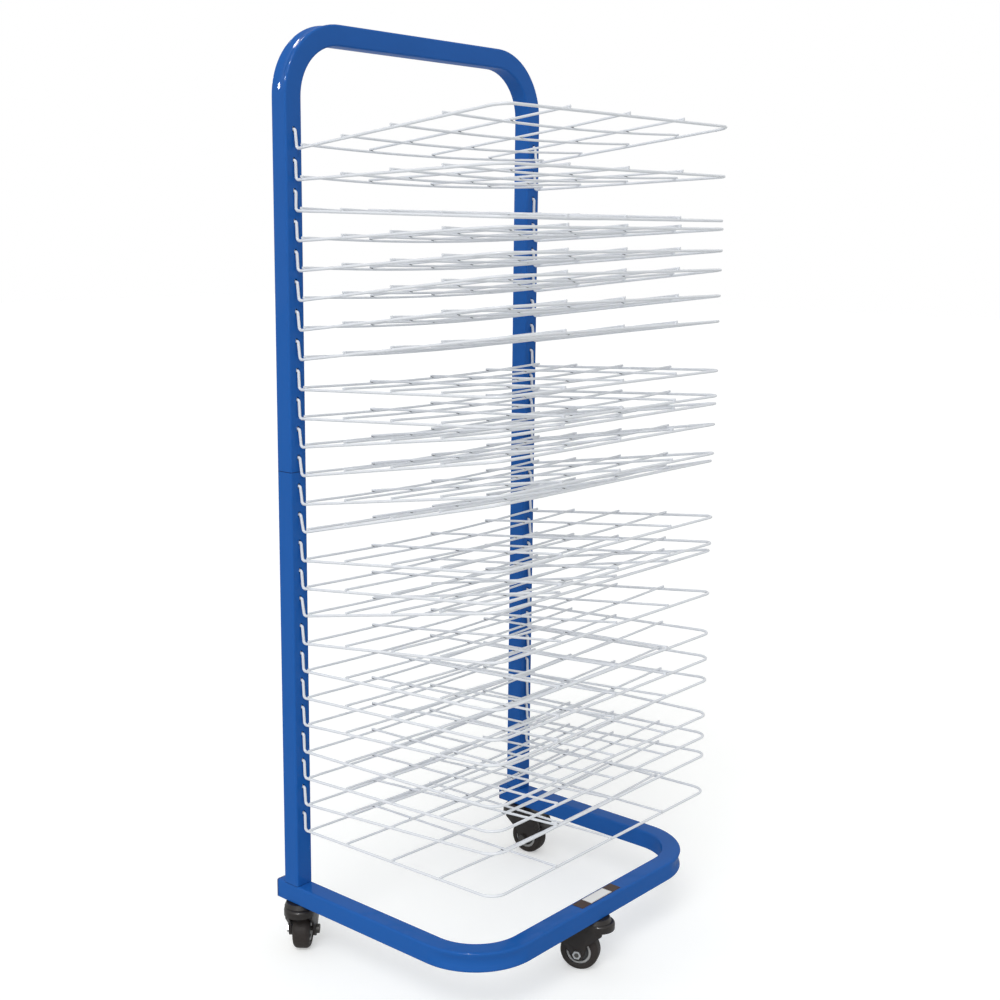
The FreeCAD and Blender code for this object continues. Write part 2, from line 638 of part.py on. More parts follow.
def tray_cross_wires():
    """Straight wires across the tray, on top of its side wires."""
    length = f"{SPAN} + frame_wire + 2 * wire_overhang"
    level = "-hook_drop + frame_wire / 2 + grid_wire / 2"
    reaches = ["rear_wire_reach"]
    reaches += [f"cross_wire_reach + {step} * cross_wire_step" for step in range(3)]
    return [cylinder(f"tray_cross_wire_{index}", "grid_wire / 2", length,
                     f"{reach} + tube_wall / 2", f"-({length}) / 2", level, "Y")
            for index, reach in enumerate(reaches, 1)]


def tray_depth_wires():
    """Wires from rear to front on top of the cross wires, cranked down to the front wire."""
    shift = num("tube_wall / 2")
    high = num("-hook_drop + frame_wire / 2 + 3 * grid_wire / 2")
    low = num("-hook_drop + frame_wire / 2 + grid_wire / 2")
    rear = num("rear_wire_reach - grid_wire / 2 - wire_overhang") + shift
    start = num("cross_wire_reach + 2 * cross_wire_step + crank_start") + shift
    end = num("tray_reach - crank_end") + shift
    front = num("tray_reach + frame_wire / 2 + wire_overhang") + shift
    wires = []
    for number in (-1, 0, 1):
        y = number * num("depth_wire_step")
        points = [Vector(rear, y, high), Vector(start, y, high), Vector(end, y, low), Vector(front, y, low)]
        wire = doc.addObject("Part::Feature", f"tray_depth_wire_{number + 2}")
        wire.Shape = bent_wire(points, [num("crank_bend")] * 2, num("grid_wire"))
        wires.append(wire)
    return wires


def make_trays():
    """All trays: one pattern of welded wires, hung from each pair of holes at its own rest angle."""
    pattern = group("tray_pattern", [tray_frame_wire()] + tray_cross_wires() + tray_depth_wires())
    for number in range(1, int(num("tray_count")) + 1):
        part_node(f"tray_{number:02d}", [pattern], "-tube_wall / 2", "0",
                  f"first_hole_height - {number - 1} * tray_pitch",
                  ("0", "-1", "0"), f"Dim.rest_tilt_{number:02d}")


# ---- Castors --------------------------------------------------------------------------------
def castor_stem(name, reach):
    """Threaded stem, riveted under the fork's crown and reaching up into the frame."""
    gap = "bearing_gap"
    bottom = f"({CROWN_BOTTOM} - {gap} - rivet_height)"
    rivet = cylinder(name + "_rivet", "rivet_diameter / 2", "rivet_height", z=bottom)
    rod = cylinder(name + "_rod", "stem_diameter / 2", f"castor_height + {reach} - {bottom}", z=bottom)
    return fuse(name, [rivet, rod])


def ball_track(name, gap="ball_gap"):
    """Ring in which the swivel balls run, half in the race and half in the crown."""
    ring = doc.addObject("Part::Torus", name)
    bind(ring, "Radius1", "ball_circle / 2")
    bind(ring, "Radius2", f"ball_diameter / 2 + {gap}")
    place(ring, z=f"{RACE_BOTTOM} - bearing_gap / 2")
    return ring


def castor_bearing():
    """Fixed race under the frame with its ring of balls."""
    dome = doc.addObject("Part::Cone", "race_dome")
    bind(dome, "Radius1", "crown_diameter / 2")
    bind(dome, "Radius2", "race_top_diameter / 2")
    bind(dome, "Height", "race_height")
    place(dome, z=RACE_BOTTOM)
    bore = cylinder("race_bore", "stem_diameter / 2 + thread_gap", "race_height", z=RACE_BOTTOM)
    race = cut("fixed_race", dome, [bore, ball_track("race_track")])
    balls = []
    for index in range(BALLS_PER_RACE):
        turn = 2 * math.pi * index / BALLS_PER_RACE
        ball = doc.addObject("Part::Sphere", f"ball_{index + 1:02d}")
        bind(ball, "Radius", "ball_diameter / 2")
        place(ball, f"ball_circle / 2 * {math.cos(turn):.6f}", f"ball_circle / 2 * {math.sin(turn):.6f}",
              f"{RACE_BOTTOM} - bearing_gap / 2")
        balls.append(ball)
    return [race] + balls


def castor_fork():
    """Fork: round crown, two cheeks down to the axle and a hood over the brake pivot."""
    body = doc.addObject("PartDesign::Body", "fork_body")
    side = sketch_on(body, "cheek_outline", "XZ_Plane")
    outline(side, "cheek", [
        ("-cheek_nose", CROWN_TOP + " - cheek_top_drop"),
        ("-cheek_nose", CROWN_BOTTOM + " - cheek_nose_drop"),
        ("castor_trail - cheek_end - waist_reach", WHEEL_RADIUS + " + waist_height"),
        ("castor_trail - cheek_end", WHEEL_RADIUS),
        ("castor_trail + cheek_end", WHEEL_RADIUS),
        (f"pedal_pivot_reach + hood_radius * {DIAGONAL}", f"pedal_pivot_height - hood_radius * {DIAGONAL}"),
        ("pedal_pivot_reach + hood_radius", "pedal_pivot_height"),
        ("pedal_pivot_reach", CROWN_TOP + " - hood_drop"),
        ("castor_trail + cheek_back", CROWN_TOP + " - cheek_top_drop")])
    pad(body, "cheeks", side, FORK_OUTER, both=True)
    ends = sketch_on(body, "cheek_ends", "XZ_Plane")
    circle(ends, "axle_end", "cheek_end", "castor_trail", WHEEL_RADIUS)
    pad(body, "cheek_end_discs", ends, FORK_OUTER, both=True)
    crown = cylinder("fork_crown", "crown_diameter / 2", "crown_thickness", z=CROWN_BOTTOM)
    drum = cylinder("fork_front_disc", "crown_diameter / 2", "crown_thickness", "-crown_offset",
                    z=CROWN_BOTTOM)
    top = num(CROWN_TOP)
    front = rounded("fork_front", drum, num("crown_rounding"), lambda edge: edge.CenterOfMass.z > top - 1e-3)
    blank = fuse("fork_blank", [body, crown, front])
    slot = box("fork_slot", f"2 * (pedal_pivot_reach + hood_radius + {CUT_PAST})", "fork_inner", CROWN_BOTTOM)
    pivot = cylinder("fork_king_bore", "stem_diameter / 2 + running_gap", "castor_height")
    width = f"{FORK_OUTER} + 2 * {CUT_PAST}"
    axle = cylinder("fork_axle_bore", "axle_diameter / 2 + running_gap", width,
                    "castor_trail", f"-({width}) / 2", WHEEL_RADIUS, "Y")
    pedal = cylinder("fork_pedal_bore", "pedal_pin / 2 + running_gap", width,
                     "pedal_pivot_reach", f"-({width}) / 2", "pedal_pivot_height", "Y")
    return cut("castor_fork", blank, [slot, pivot, axle, pedal, ball_track("crown_track")])


def castor_wheel():
    """Hub with a dished face each side, and the tyre round it."""
    half = "hub_width / 2"
    blank = cylinder("hub_blank", "hub_diameter / 2", "hub_width", y=f"-{half}", along="Y")
    bore = cylinder("hub_bore", "axle_diameter / 2 + running_gap", "hub_width", y=f"-{half}", along="Y")
    dishes = []
    for side, y in (("inner", f"-{half}"), ("outer", f"{half} - hub_recess")):
        ring = cylinder("hub_dish_" + side, "hub_diameter / 2 - hub_rim", "hub_recess", y=y, along="Y")
        boss = cylinder("hub_boss_" + side, "hub_boss / 2", "hub_recess", y=y, along="Y")
        dishes.append(cut("hub_recess_" + side, ring, [boss]))
    hub = cut("wheel_hub", blank, [bore] + dishes)
    tread = cylinder("tyre_blank", WHEEL_RADIUS, "tyre_width", y="-tyre_width / 2", along="Y")
    shoulders = rounded("tyre_shoulders", tread, num("tyre_shoulder"), lambda edge: edge.Length > 1)
    seat = cylinder("tyre_seat", "hub_diameter / 2", "tyre_width", y="-tyre_width / 2", along="Y")
    tyre = cut("wheel_tyre", shoulders, [seat])
    return hub, tyre


def castor_axle():
    """Axle bolt across the fork and the nut on its end."""
    outer = f"{FORK_OUTER} / 2"
    reach = f"{FORK_OUTER} + axle_nut_height"
    rod = cylinder("axle_rod", "axle_diameter / 2", reach, y=f"-{outer}", along="Y")
    head = cylinder("axle_round_head", "axle_head / 2", "axle_head_height",
                    y=f"-{outer} - axle_head_height", along="Y")
    bolt = fuse("axle_bolt", [rod, head])
    blank = hexagon("nut_blank", "axle_nut", "axle_nut_height", "0", outer, "0")
    thread = cylinder("nut_thread", "axle_diameter / 2 + thread_gap", "axle_nut_height", y=outer, along="Y")
    return bolt, cut("hexagon_nut", blank, [thread])


def brake_pedal():
    """Brake pedal about its own pin: a plate to tread on and a shoe beside the tyre."""
    body = doc.addObject("PartDesign::Body", "pedal_body")
    side = sketch_on(body, "pedal_outline", "XZ_Plane")
    droop, shoe = math.radians(PEDAL_DROOP), math.radians(SHOE_ANGLE)
    along = (math.cos(droop), -math.sin(droop))
    up = (math.sin(droop), math.cos(droop))

    def on_plate(reach, rise):
        return tuple(f"{reach} * {a:.6f} + {rise} * {u:.6f}" for a, u in zip(along, up))

    outline(side, "pedal", [
        on_plate("pedal_reach", "(pedal_boss / 2)"),
        ("0", "pedal_boss / 2"),
        ("-pedal_boss / 2", "0"),
        (f"-pedal_boss / 2 * {DIAGONAL}", f"-pedal_boss / 2 * {DIAGONAL}"),
        (f"shoe_reach * {math.cos(shoe):.6f}", f"shoe_reach * {math.sin(shoe):.6f}"),
        (f"pedal_boss / 2 * {DIAGONAL}", f"-pedal_boss / 2 * {DIAGONAL}"),
        on_plate("pedal_root", "(pedal_boss / 2 - pedal_plate)"),
        on_plate("pedal_reach", "(pedal_boss / 2 - pedal_plate)")])
    pad(body, "pedal_plate_pad", side, "pedal_width", both=True)
    pin = sketch_on(body, "pedal_pin_outline", "XZ_Plane")
    circle(pin, "pin", "pedal_pin / 2", "0", "0")
    pad(body, "pedal_pin_pad", pin, FORK_OUTER, both=True)
    return body


def make_castors():
    """Three swivel castors: two under the posts with brakes, one under the front bar."""
    bearing = castor_bearing()
    fork = castor_fork()
    hub, tyre = castor_wheel()
    bolt, nut = castor_axle()
    pedal = brake_pedal()
    rear_stem = castor_stem("rear_stem", "tube_side + insert_height")
    front_stem = castor_stem("front_stem", "tube_wall + insert_height")
    seats = (
        ("rear_left", REAR_STEM_X, HALF_SPAN, "left_castor_yaw", rear_stem, True),
        ("rear_right", REAR_STEM_X, f"-{HALF_SPAN}", "right_castor_yaw", rear_stem, True),
        ("front", BAR_X, "0", "front_castor_yaw", front_stem, False))
    for seat, x, y, yaw, stem, braked in seats:
        up = ("0", "0", "1")
        axle_x = f"({x}) + castor_trail * cos({yaw} * 1 deg)"
        axle_y = f"({y}) + castor_trail * sin({yaw} * 1 deg)"
        part_node(seat + "_castor_stem", [stem], x, y, "0")
        part_node(seat + "_castor_bearing", bearing, x, y, "0")
        part_node(seat + "_castor_fork", [fork], x, y, "0", up, yaw)
        for label, piece in (("axle_bolt", bolt), ("axle_nut", nut), ("wheel_hub", hub), ("tyre", tyre)):
            part_node(f"{seat}_{label}", [piece], axle_x, axle_y, WHEEL_RADIUS, up, yaw)
        if braked:
            pivot_x = f"({x}) + pedal_pivot_reach * cos({yaw} * 1 deg)"
            pivot_y = f"({y}) + pedal_pivot_reach * sin({yaw} * 1 deg)"
            part_node(seat + "_brake_pedal", [pedal], pivot_x, pivot_y, "pedal_pivot_height", up, yaw)


def check_and_export():
    """Stop on any failed object or shape, then write one STEP file for each sub-part."""
    doc.recompute()
    for thing in doc.Objects:
        if "Invalid" in thing.State or "Error" in thing.State:
            raise RuntimeError(f"{thing.Name} failed: {thing.State}")
    for node in nodes:
        if node.Shape.isNull() or not node.Shape.isValid():
            raise RuntimeError(f"{node.Label} has no valid shape")
    os.makedirs("parts", exist_ok=True)
    for node in nodes:
        node.Shape.exportStep(f"parts/{node.Label}.step")
        print(f"{node.Label}: {len(node.Shape.Solids)} solids, {node.Shape.Volume / 1000:.2f} cm3")


fill_sheet()
make_base_frame()
make_arch()
make_lower_posts()
make_spigots()
make_joint_screws()
make_leg_caps()
make_castor_inserts()
make_label()
make_trays()
make_castors()
check_and_export()
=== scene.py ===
"""Art drying rack on castors: finishes, welds, bent tubes and castor parts round its CAD frame."""

import json
import math

import bmesh
import bpy
from bpy.props import FloatProperty, FloatVectorProperty, IntProperty, PointerProperty
from bpy.types import Operator, Panel, PropertyGroup
from mathutils import Matrix, Vector


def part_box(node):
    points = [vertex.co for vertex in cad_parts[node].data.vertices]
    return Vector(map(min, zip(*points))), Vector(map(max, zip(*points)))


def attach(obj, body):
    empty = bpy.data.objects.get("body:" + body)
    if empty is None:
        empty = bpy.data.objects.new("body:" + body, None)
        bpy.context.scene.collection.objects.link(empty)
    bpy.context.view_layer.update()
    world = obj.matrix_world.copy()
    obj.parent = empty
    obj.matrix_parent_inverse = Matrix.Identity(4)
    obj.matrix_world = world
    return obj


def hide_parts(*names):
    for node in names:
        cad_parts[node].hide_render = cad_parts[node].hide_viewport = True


bl_info = {
    "name": "Art drying rack",
    "version": (1, 0, 0),
    "blender": (4, 5, 0),
    "location": "View3D > Sidebar > Drying rack",
    "description": "Builds the finished look of a wheeled rack with lifting wire trays",
    "category": "Add Mesh",
}

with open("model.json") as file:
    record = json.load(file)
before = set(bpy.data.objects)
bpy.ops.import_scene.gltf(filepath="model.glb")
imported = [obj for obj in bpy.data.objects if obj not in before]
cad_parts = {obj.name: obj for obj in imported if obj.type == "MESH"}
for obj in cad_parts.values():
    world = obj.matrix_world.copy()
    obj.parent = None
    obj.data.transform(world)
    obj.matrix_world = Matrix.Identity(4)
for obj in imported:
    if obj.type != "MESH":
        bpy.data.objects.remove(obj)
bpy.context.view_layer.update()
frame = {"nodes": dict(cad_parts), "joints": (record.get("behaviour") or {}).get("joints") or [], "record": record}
NODES = frame["nodes"]
JOINTS = {joint["name"]: joint for joint in frame["joints"]}
BODY_OF = {
    member: body
    for body, members in frame["record"]["behaviour"]["bodies"].items()
    for member in members
}

MM = 0.001
SMOOTH_UP_TO = math.radians(32)  # faces that meet at less than this shade as one
FLAT_UP_TO = math.radians(0.6)  # faces that meet at less than this are one flat face
NODE_GRAIN = 2e-6  # a CAD node's vertices nearer than this are one
GRAIN = 1e-6  # the same for a shape made here
CLEARLY = 1e-5  # a distance that is more than rounding
TRAYS = sorted(name for name in NODES if name.startswith("tray_"))
CASTORS = ("front", "rear_left", "rear_right")
BRAKED = ("rear_left", "rear_right")

# Places that the pieces below share with the frame
TUBE = 25 * MM
TUBE_WALL = 1.5 * MM
TUBE_CORNER = 2.5 * MM
BEND = 75 * MM  # centreline radius of the tube's bends
POSTS_APART = 440 * MM  # between the posts' middles
POST_X = -12.5 * MM
ARCH_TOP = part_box("arch_frame")[1].z
MID_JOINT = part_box("arch_frame")[0].z
LEG_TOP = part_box("base_frame")[1].z
BASE_LEVEL = LEG_TOP - TUBE / 2
BAR_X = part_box("base_frame")[1].x - TUBE / 2

SEAM_DEPTH = 0.85  # how dark the line is where tubes meet
SEAM_SHADE = (0.004, 0.008, 0.03)
SENSOR_WIDTH = 36  # of the camera, in millimetres


# ---- Meshes ---------------------------------------------------------------------------------
def piece(name, bm, body, materials):
    """A finished piece from a bmesh: soft shading inside a face, hard where faces meet."""
    bm.normal_update()
    for face in bm.faces:
        face.smooth = True
    for edge in bm.edges:
        if edge.is_manifold:
            edge.smooth = edge.calc_face_angle(0) < SMOOTH_UP_TO
    mesh = bpy.data.meshes.new(name)
    bm.to_mesh(mesh)
    bm.free()
    if "custom_normal" in mesh.attributes:  # a CAD node's own normals no longer fit
        mesh.attributes.remove(mesh.attributes["custom_normal"])
    made = bpy.data.objects.new(name, mesh)
    bpy.context.scene.collection.objects.link(made)
    for material in materials:
        mesh.materials.append(material)
    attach(made, body)
    return made


def node_copy(node):
    """A CAD node's shape as a bmesh of joined faces."""
    bm = bmesh.new()
    bm.from_mesh(NODES[node].data)
    bmesh.ops.remove_doubles(bm, verts=bm.verts, dist=NODE_GRAIN)
    return bm


def flat_merged(bm):
    """Joins the triangles of each flat face, so that edges can be rounded."""
    bmesh.ops.dissolve_limit(
        bm, angle_limit=FLAT_UP_TO, verts=bm.verts, edges=bm.edges,
        use_dissolve_boundaries=False,
    )
    return bm


def soften(bm, width, over=35, segments=2):
    """Rounds the edges that are sharper than an angle in degrees."""
    bm.normal_update()
    limit = math.radians(over)
    edges = [
        edge for edge in bm.edges
        if edge.is_manifold and edge.calc_face_angle(0) > limit
    ]
    bmesh.ops.bevel(
        bm, geom=edges, offset=width, offset_type="OFFSET", affect="EDGES",
        segments=segments, profile=0.5, material=-1, clamp_overlap=True, loop_slide=True,
    )
    return bm


def outwards(bm):
    """Joins what touches and turns every face outwards."""
    bmesh.ops.remove_doubles(bm, verts=bm.verts, dist=GRAIN)
    bmesh.ops.recalc_face_normals(bm, faces=bm.faces)
    return bm


def spun(outline, segments):
    """A turned shape round the Y axis from a closed outline of (radius, along) points."""
    bm = bmesh.new()
    verts = [bm.verts.new((radius, along, 0)) for radius, along in outline]
    edges = [bm.edges.new(pair) for pair in zip(verts, verts[1:] + verts[:1])]
    bmesh.ops.spin(
        bm, geom=verts + edges, cent=(0, 0, 0), axis=(0, 1, 0), dvec=(0, 0, 0),
        angle=2 * math.pi, steps=segments, use_merge=True, use_duplicate=False,
    )
    return outwards(bm)


def castor_turn(seat):
    """Where a castor's wheel sits: its axle is Y and the way it trails is X."""
    spin = JOINTS[seat + "_wheel_spin"]
    axle = Vector(spin["axis"]).normalized()
    trail = axle.cross(Vector((0, 0, 1)))
    turn = Matrix((trail, axle, Vector((0, 0, 1)))).transposed().to_4x4()
    return Matrix.Translation(Vector(spin["pos_m"])) @ turn


# ---- Shared effects -------------------------------------------------------------------------
MIX_INPUTS = (0, 6, 7)  # a Mix node's factor and its two colours
MIX_OUTPUT = 2  # its mixed colour
DUST_SCALE = 350.0  # of the specks of dust


def effect(name, inputs, outputs):
    """An empty shader node group with named sockets."""
    group = bpy.data.node_groups.new(name, "ShaderNodeTree")
    for label, kind, default in inputs:
        socket = group.interface.new_socket(label, in_out="INPUT", socket_type=kind)
        if default is not None:
            socket.default_value = default
    for label, kind in outputs:
        group.interface.new_socket(label, in_out="OUTPUT", socket_type=kind)
    start = group.nodes.new("NodeGroupInput")
    end = group.nodes.new("NodeGroupOutput")
    return group, start, end


def feed(tree, socket, value):
    """Sets an input to a number or a colour, or links another node's output to it."""
    if isinstance(value, bpy.types.NodeSocket):
        tree.links.new(value, socket)
    elif isinstance(value, (int, float)):
        socket.default_value = value
    else:
        socket.default_value = (*value[:3], 1)


def add(tree, kind, **settings):
    """A node with its settings."""
    node = tree.nodes.new(kind)
    for key, value in settings.items():
        setattr(node, key, value)
    return node


def noise(tree, vector, scale, detail):
    """A noise texture on the given coordinates."""
    node = add(tree, "ShaderNodeTexNoise", noise_dimensions="3D")
    tree.links.new(vector, node.inputs["Vector"])
    feed(tree, node.inputs["Scale"], scale)
    feed(tree, node.inputs["Detail"], detail)
    return node.outputs["Fac"]


def maths(tree, operation, *values, clamp=False):
    """A math node; its inputs are sockets or numbers."""
    node = add(tree, "ShaderNodeMath", operation=operation)
    node.use_clamp = clamp
    for socket, value in zip(node.inputs, values):
        feed(tree, socket, value)
    return node.outputs[0]


def mixed(tree, factor, first, second):
    """Two colours mixed by a factor."""
    node = add(tree, "ShaderNodeMix", data_type="RGBA", blend_type="MIX")
    for place, value in zip(MIX_INPUTS, (factor, first, second)):
        feed(tree, node.inputs[place], value)
    return node.outputs[MIX_OUTPUT]


def build_effects():
    """The effects that several finishes share."""
    made = {}
    colour = "NodeSocketColor"
    number = "NodeSocketFloat"
    vector = "NodeSocketVector"

    group, start, end = effect(
        "tone drift",
        [("Vector", vector, None), ("Colour", colour, None), ("Second", colour, None),
         ("Scale", number, 20.0), ("Amount", number, 0.2)],
        [("Colour", colour)])
    cloud = noise(group, start.outputs["Vector"], start.outputs["Scale"], 4)
    share = maths(group, "MULTIPLY", cloud, start.outputs["Amount"], clamp=True)
    tone = mixed(group, share, start.outputs["Colour"], start.outputs["Second"])
    group.links.new(tone, end.inputs[0])
    made["tone"] = group

    group, start, end = effect(
        "gloss drift",
        [("Vector", vector, None), ("Roughness", number, 0.3), ("Scale", number, 40.0),
         ("Amount", number, 0.1)],
        [("Roughness", number)])
    cloud = noise(group, start.outputs["Vector"], start.outputs["Scale"], 2)
    swing = maths(group, "MULTIPLY_ADD", cloud, start.outputs["Amount"], start.outputs["Roughness"],
                  clamp=True)
    group.links.new(swing, end.inputs[0])
    made["gloss"] = group

    group, start, end = effect(
        "skin grain",
        [("Vector", vector, None), ("Scale", number, 900.0), ("Fine", number, 3000.0),
         ("Share", number, 0.3)],
        [("Height", number)])
    broad = noise(group, start.outputs["Vector"], start.outputs["Scale"], 2)
    fine = noise(group, start.outputs["Vector"], start.outputs["Fine"], 1)
    part = maths(group, "MULTIPLY", fine, start.outputs["Share"])
    group.links.new(maths(group, "ADD", broad, part), end.inputs[0])
    made["grain"] = group

    group, start, end = effect(
        "floor dust",
        [("Vector", vector, None), ("Reach", number, 0.03), ("Strength", number, 0.3)],
        [("Mask", number)])
    split = add(group, "ShaderNodeSeparateXYZ")
    group.links.new(start.outputs["Vector"], split.inputs[0])
    low = maths(group, "DIVIDE", split.outputs["Z"], start.outputs["Reach"])
    near = maths(group, "SUBTRACT", 1.0, low, clamp=True)
    speck = noise(group, start.outputs["Vector"], DUST_SCALE, 3)
    dust = maths(group, "MULTIPLY", near, speck)
    dust = maths(group, "MULTIPLY", dust, start.outputs["Strength"], clamp=True)
    group.links.new(dust, end.inputs[0])
    made["dust"] = group

    group, start, end = effect(
        "level line",
        [("Vector", vector, None), ("Level", number, 0.5), ("Half width", number, 0.0005)],
        [("Mask", number)])
    split = add(group, "ShaderNodeSeparateXYZ")
    group.links.new(start.outputs["Vector"], split.inputs[0])
    away = maths(group, "SUBTRACT", split.outputs["Z"], start.outputs["Level"])
    away = maths(group, "ABSOLUTE", away)
    share = maths(group, "DIVIDE", away, start.outputs["Half width"])
    faded = maths(group, "POWER", share, 2.0)
    group.links.new(maths(group, "SUBTRACT", 1.0, faded, clamp=True), end.inputs[0])
    made["line"] = group
    return made


def place_effect(tree, group, **values):
    """A group node in a material; a value is a socket, a number or a colour."""
    node = tree.nodes.new("ShaderNodeGroup")
    node.node_tree = group
    for label, value in values.items():
        feed(tree, node.inputs[label.replace("_", " ")], value)
    return node.outputs[0]


# ---- Finishes -------------------------------------------------------------------------------
def shaded(colour, share):
    """A colour made darker or lighter by a share."""
    return tuple(part * share for part in colour)


def finish(name, effects, colour, second, roughness, tone, gloss, grain, bump, height,
           metallic=0.0, coat=0.0, coat_roughness=0.05, specular=0.5):
    """A procedural finish: drifting tone and gloss over a fine skin.

    tone and gloss are (scale, amount), grain is (scale, fine scale, share of the fine one), bump
    is the strength of the skin and height its depth in metres.
    """
    material = bpy.data.materials.new(name)
    material.use_nodes = True
    tree = material.node_tree
    shader = tree.nodes["Principled BSDF"]
    shader.inputs["Metallic"].default_value = metallic
    shader.inputs["Coat Weight"].default_value = coat
    shader.inputs["Coat Roughness"].default_value = coat_roughness
    shader.inputs["Specular IOR Level"].default_value = specular
    where = tree.nodes.new("ShaderNodeTexCoord").outputs["Object"]
    base = place_effect(tree, effects["tone"], Vector=where, Colour=colour, Second=second,
                        Scale=tone[0], Amount=tone[1])
    rough = place_effect(tree, effects["gloss"], Vector=where, Roughness=roughness, Scale=gloss[0],
                         Amount=gloss[1])
    skin = place_effect(tree, effects["grain"], Vector=where, Scale=grain[0], Fine=grain[1],
                        Share=grain[2])
    bumped = tree.nodes.new("ShaderNodeBump")
    bumped.inputs["Strength"].default_value = bump
    bumped.inputs["Distance"].default_value = height
    tree.links.new(skin, bumped.inputs["Height"])
    tree.links.new(bumped.outputs["Normal"], shader.inputs["Normal"])
    tree.links.new(base, shader.inputs["Base Color"])
    tree.links.new(rough, shader.inputs["Roughness"])
    return material, tree, shader, where, base


def base_colour(tree, shader, colour):
    """Puts a new colour in front of the shader."""
    tree.links.new(colour, shader.inputs["Base Color"])


def blue_paint(effects, settings, name="blue powder coat", seams=()):
    """Blue powder coat, with a dark line at each height where posts meet something."""
    deep = shaded(settings.paint, 0.8)
    material, tree, shader, where, base = finish(
        name, effects, settings.paint, deep, settings.paint_roughness, tone=(14.0, 0.5),
        gloss=(90.0, 0.08), grain=(420.0, 1500.0, 0.35), bump=0.16, height=0.0002, coat=0.25,
        coat_roughness=0.05, specular=0.0)
    for level in seams:
        line = place_effect(tree, effects["line"], Vector=where, Level=level,
                            Half_width=settings.seam_width / 2)
        base = mixed(tree, maths(tree, "MULTIPLY", line, SEAM_DEPTH), base, SEAM_SHADE)
    base_colour(tree, shader, base)
    return material


def white_wire(effects, settings):
    """White dipped coating over the tray wires."""
    grey = shaded(settings.coating, 0.9)
    material, *_ = finish(
        "white wire coating", effects, settings.coating, grey, 0.28, tone=(55.0, 0.6),
        gloss=(200.0, 0.1), grain=(700.0, 2600.0, 0.4), bump=0.2, height=0.0002, coat=0.15,
        coat_roughness=0.08, specular=0.2)
    return material


def weld_mark_and_shade(effects, settings):
    """The coating over the welds, made dark: partly pitted weld marks, partly painted shade in the nooks where
    wires cross.
    """
    colour = shaded(settings.coating, 0.36)
    dark = shaded(settings.coating, 0.12)
    material, *_ = finish(
        "weld marks and painted shade", effects, colour, dark, 0.4, tone=(620.0, 0.85), gloss=(300.0, 0.2),
        grain=(900.0, 3000.0, 0.5), bump=0.5, height=0.0003, coat=0.1, coat_roughness=0.15,
        specular=0.2)
    return material


def bright_steel(effects, settings):
    """Zinc-plated steel."""
    material, *_ = finish(
        "zinc plated steel", effects, settings.zinc, settings.dull_zinc, 0.24, tone=(160.0, 0.5),
        gloss=(400.0, 0.16), grain=(1200.0, 4000.0, 0.4), bump=0.15, height=0.0001, metallic=1.0)
    return material


def dark_steel(effects, settings):
    """Blackened steel of the axle heads."""
    material, *_ = finish(
        "blackened steel", effects, settings.axle, settings.axle_deep, 0.38, tone=(220.0, 0.6),
        gloss=(400.0, 0.2), grain=(1000.0, 4000.0, 0.4), bump=0.2, height=0.0001, metallic=0.8)
    return material


def black_plastic(effects, settings):
    """Moulded black nylon with dust near the floor."""
    lighter = shaded(settings.plastic, 1.9)
    material, tree, shader, where, base = finish(
        "black nylon", effects, settings.plastic, lighter, 0.36, tone=(70.0, 0.4),
        gloss=(160.0, 0.14), grain=(1400.0, 4200.0, 0.5), bump=0.22, height=0.00015, coat=0.3,
        coat_roughness=0.1, specular=0.2)
    dust = place_effect(tree, effects["dust"], Vector=where, Reach=0.05, Strength=0.22)
    base_colour(tree, shader, mixed(tree, dust, base, settings.dust_on_nylon))
    return material


def hub_plastic(effects, name, colour):
    """Moulded plastic of the wheel hubs: grey on the lip, and darker in the dish as painted shade of its recess.
    """
    material, *_ = finish(
        name, effects, colour, shaded(colour, 0.7), 0.26, tone=(90.0, 0.5), gloss=(200.0, 0.12),
        grain=(1500.0, 4500.0, 0.4), bump=0.15, height=0.00012, coat=0.3, coat_roughness=0.12)
    return material


def tyre_rubber(effects, settings):
    """Black rubber, dusty where it runs on the floor."""
    worn = shaded(settings.rubber, 1.8)
    material, tree, shader, where, base = finish(
        "black rubber", effects, settings.rubber, worn, 0.5, tone=(120.0, 0.5), gloss=(200.0, 0.16),
        grain=(1600.0, 5200.0, 0.6), bump=0.3, height=0.00015, specular=0.25)
    dust = place_effect(tree, effects["dust"], Vector=where, Reach=0.06, Strength=0.4)
    base_colour(tree, shader, mixed(tree, dust, base, settings.dust_on_rubber))
    return material


def cap_plastic(effects, settings):
    """Dark blue plastic of the leg plugs."""
    material, *_ = finish(
        "dark blue plastic", effects, settings.cap, settings.cap_pale, 0.36, tone=(60.0, 0.5),
        gloss=(200.0, 0.12), grain=(1300.0, 4200.0, 0.4), bump=0.2, height=0.00015)
    return material


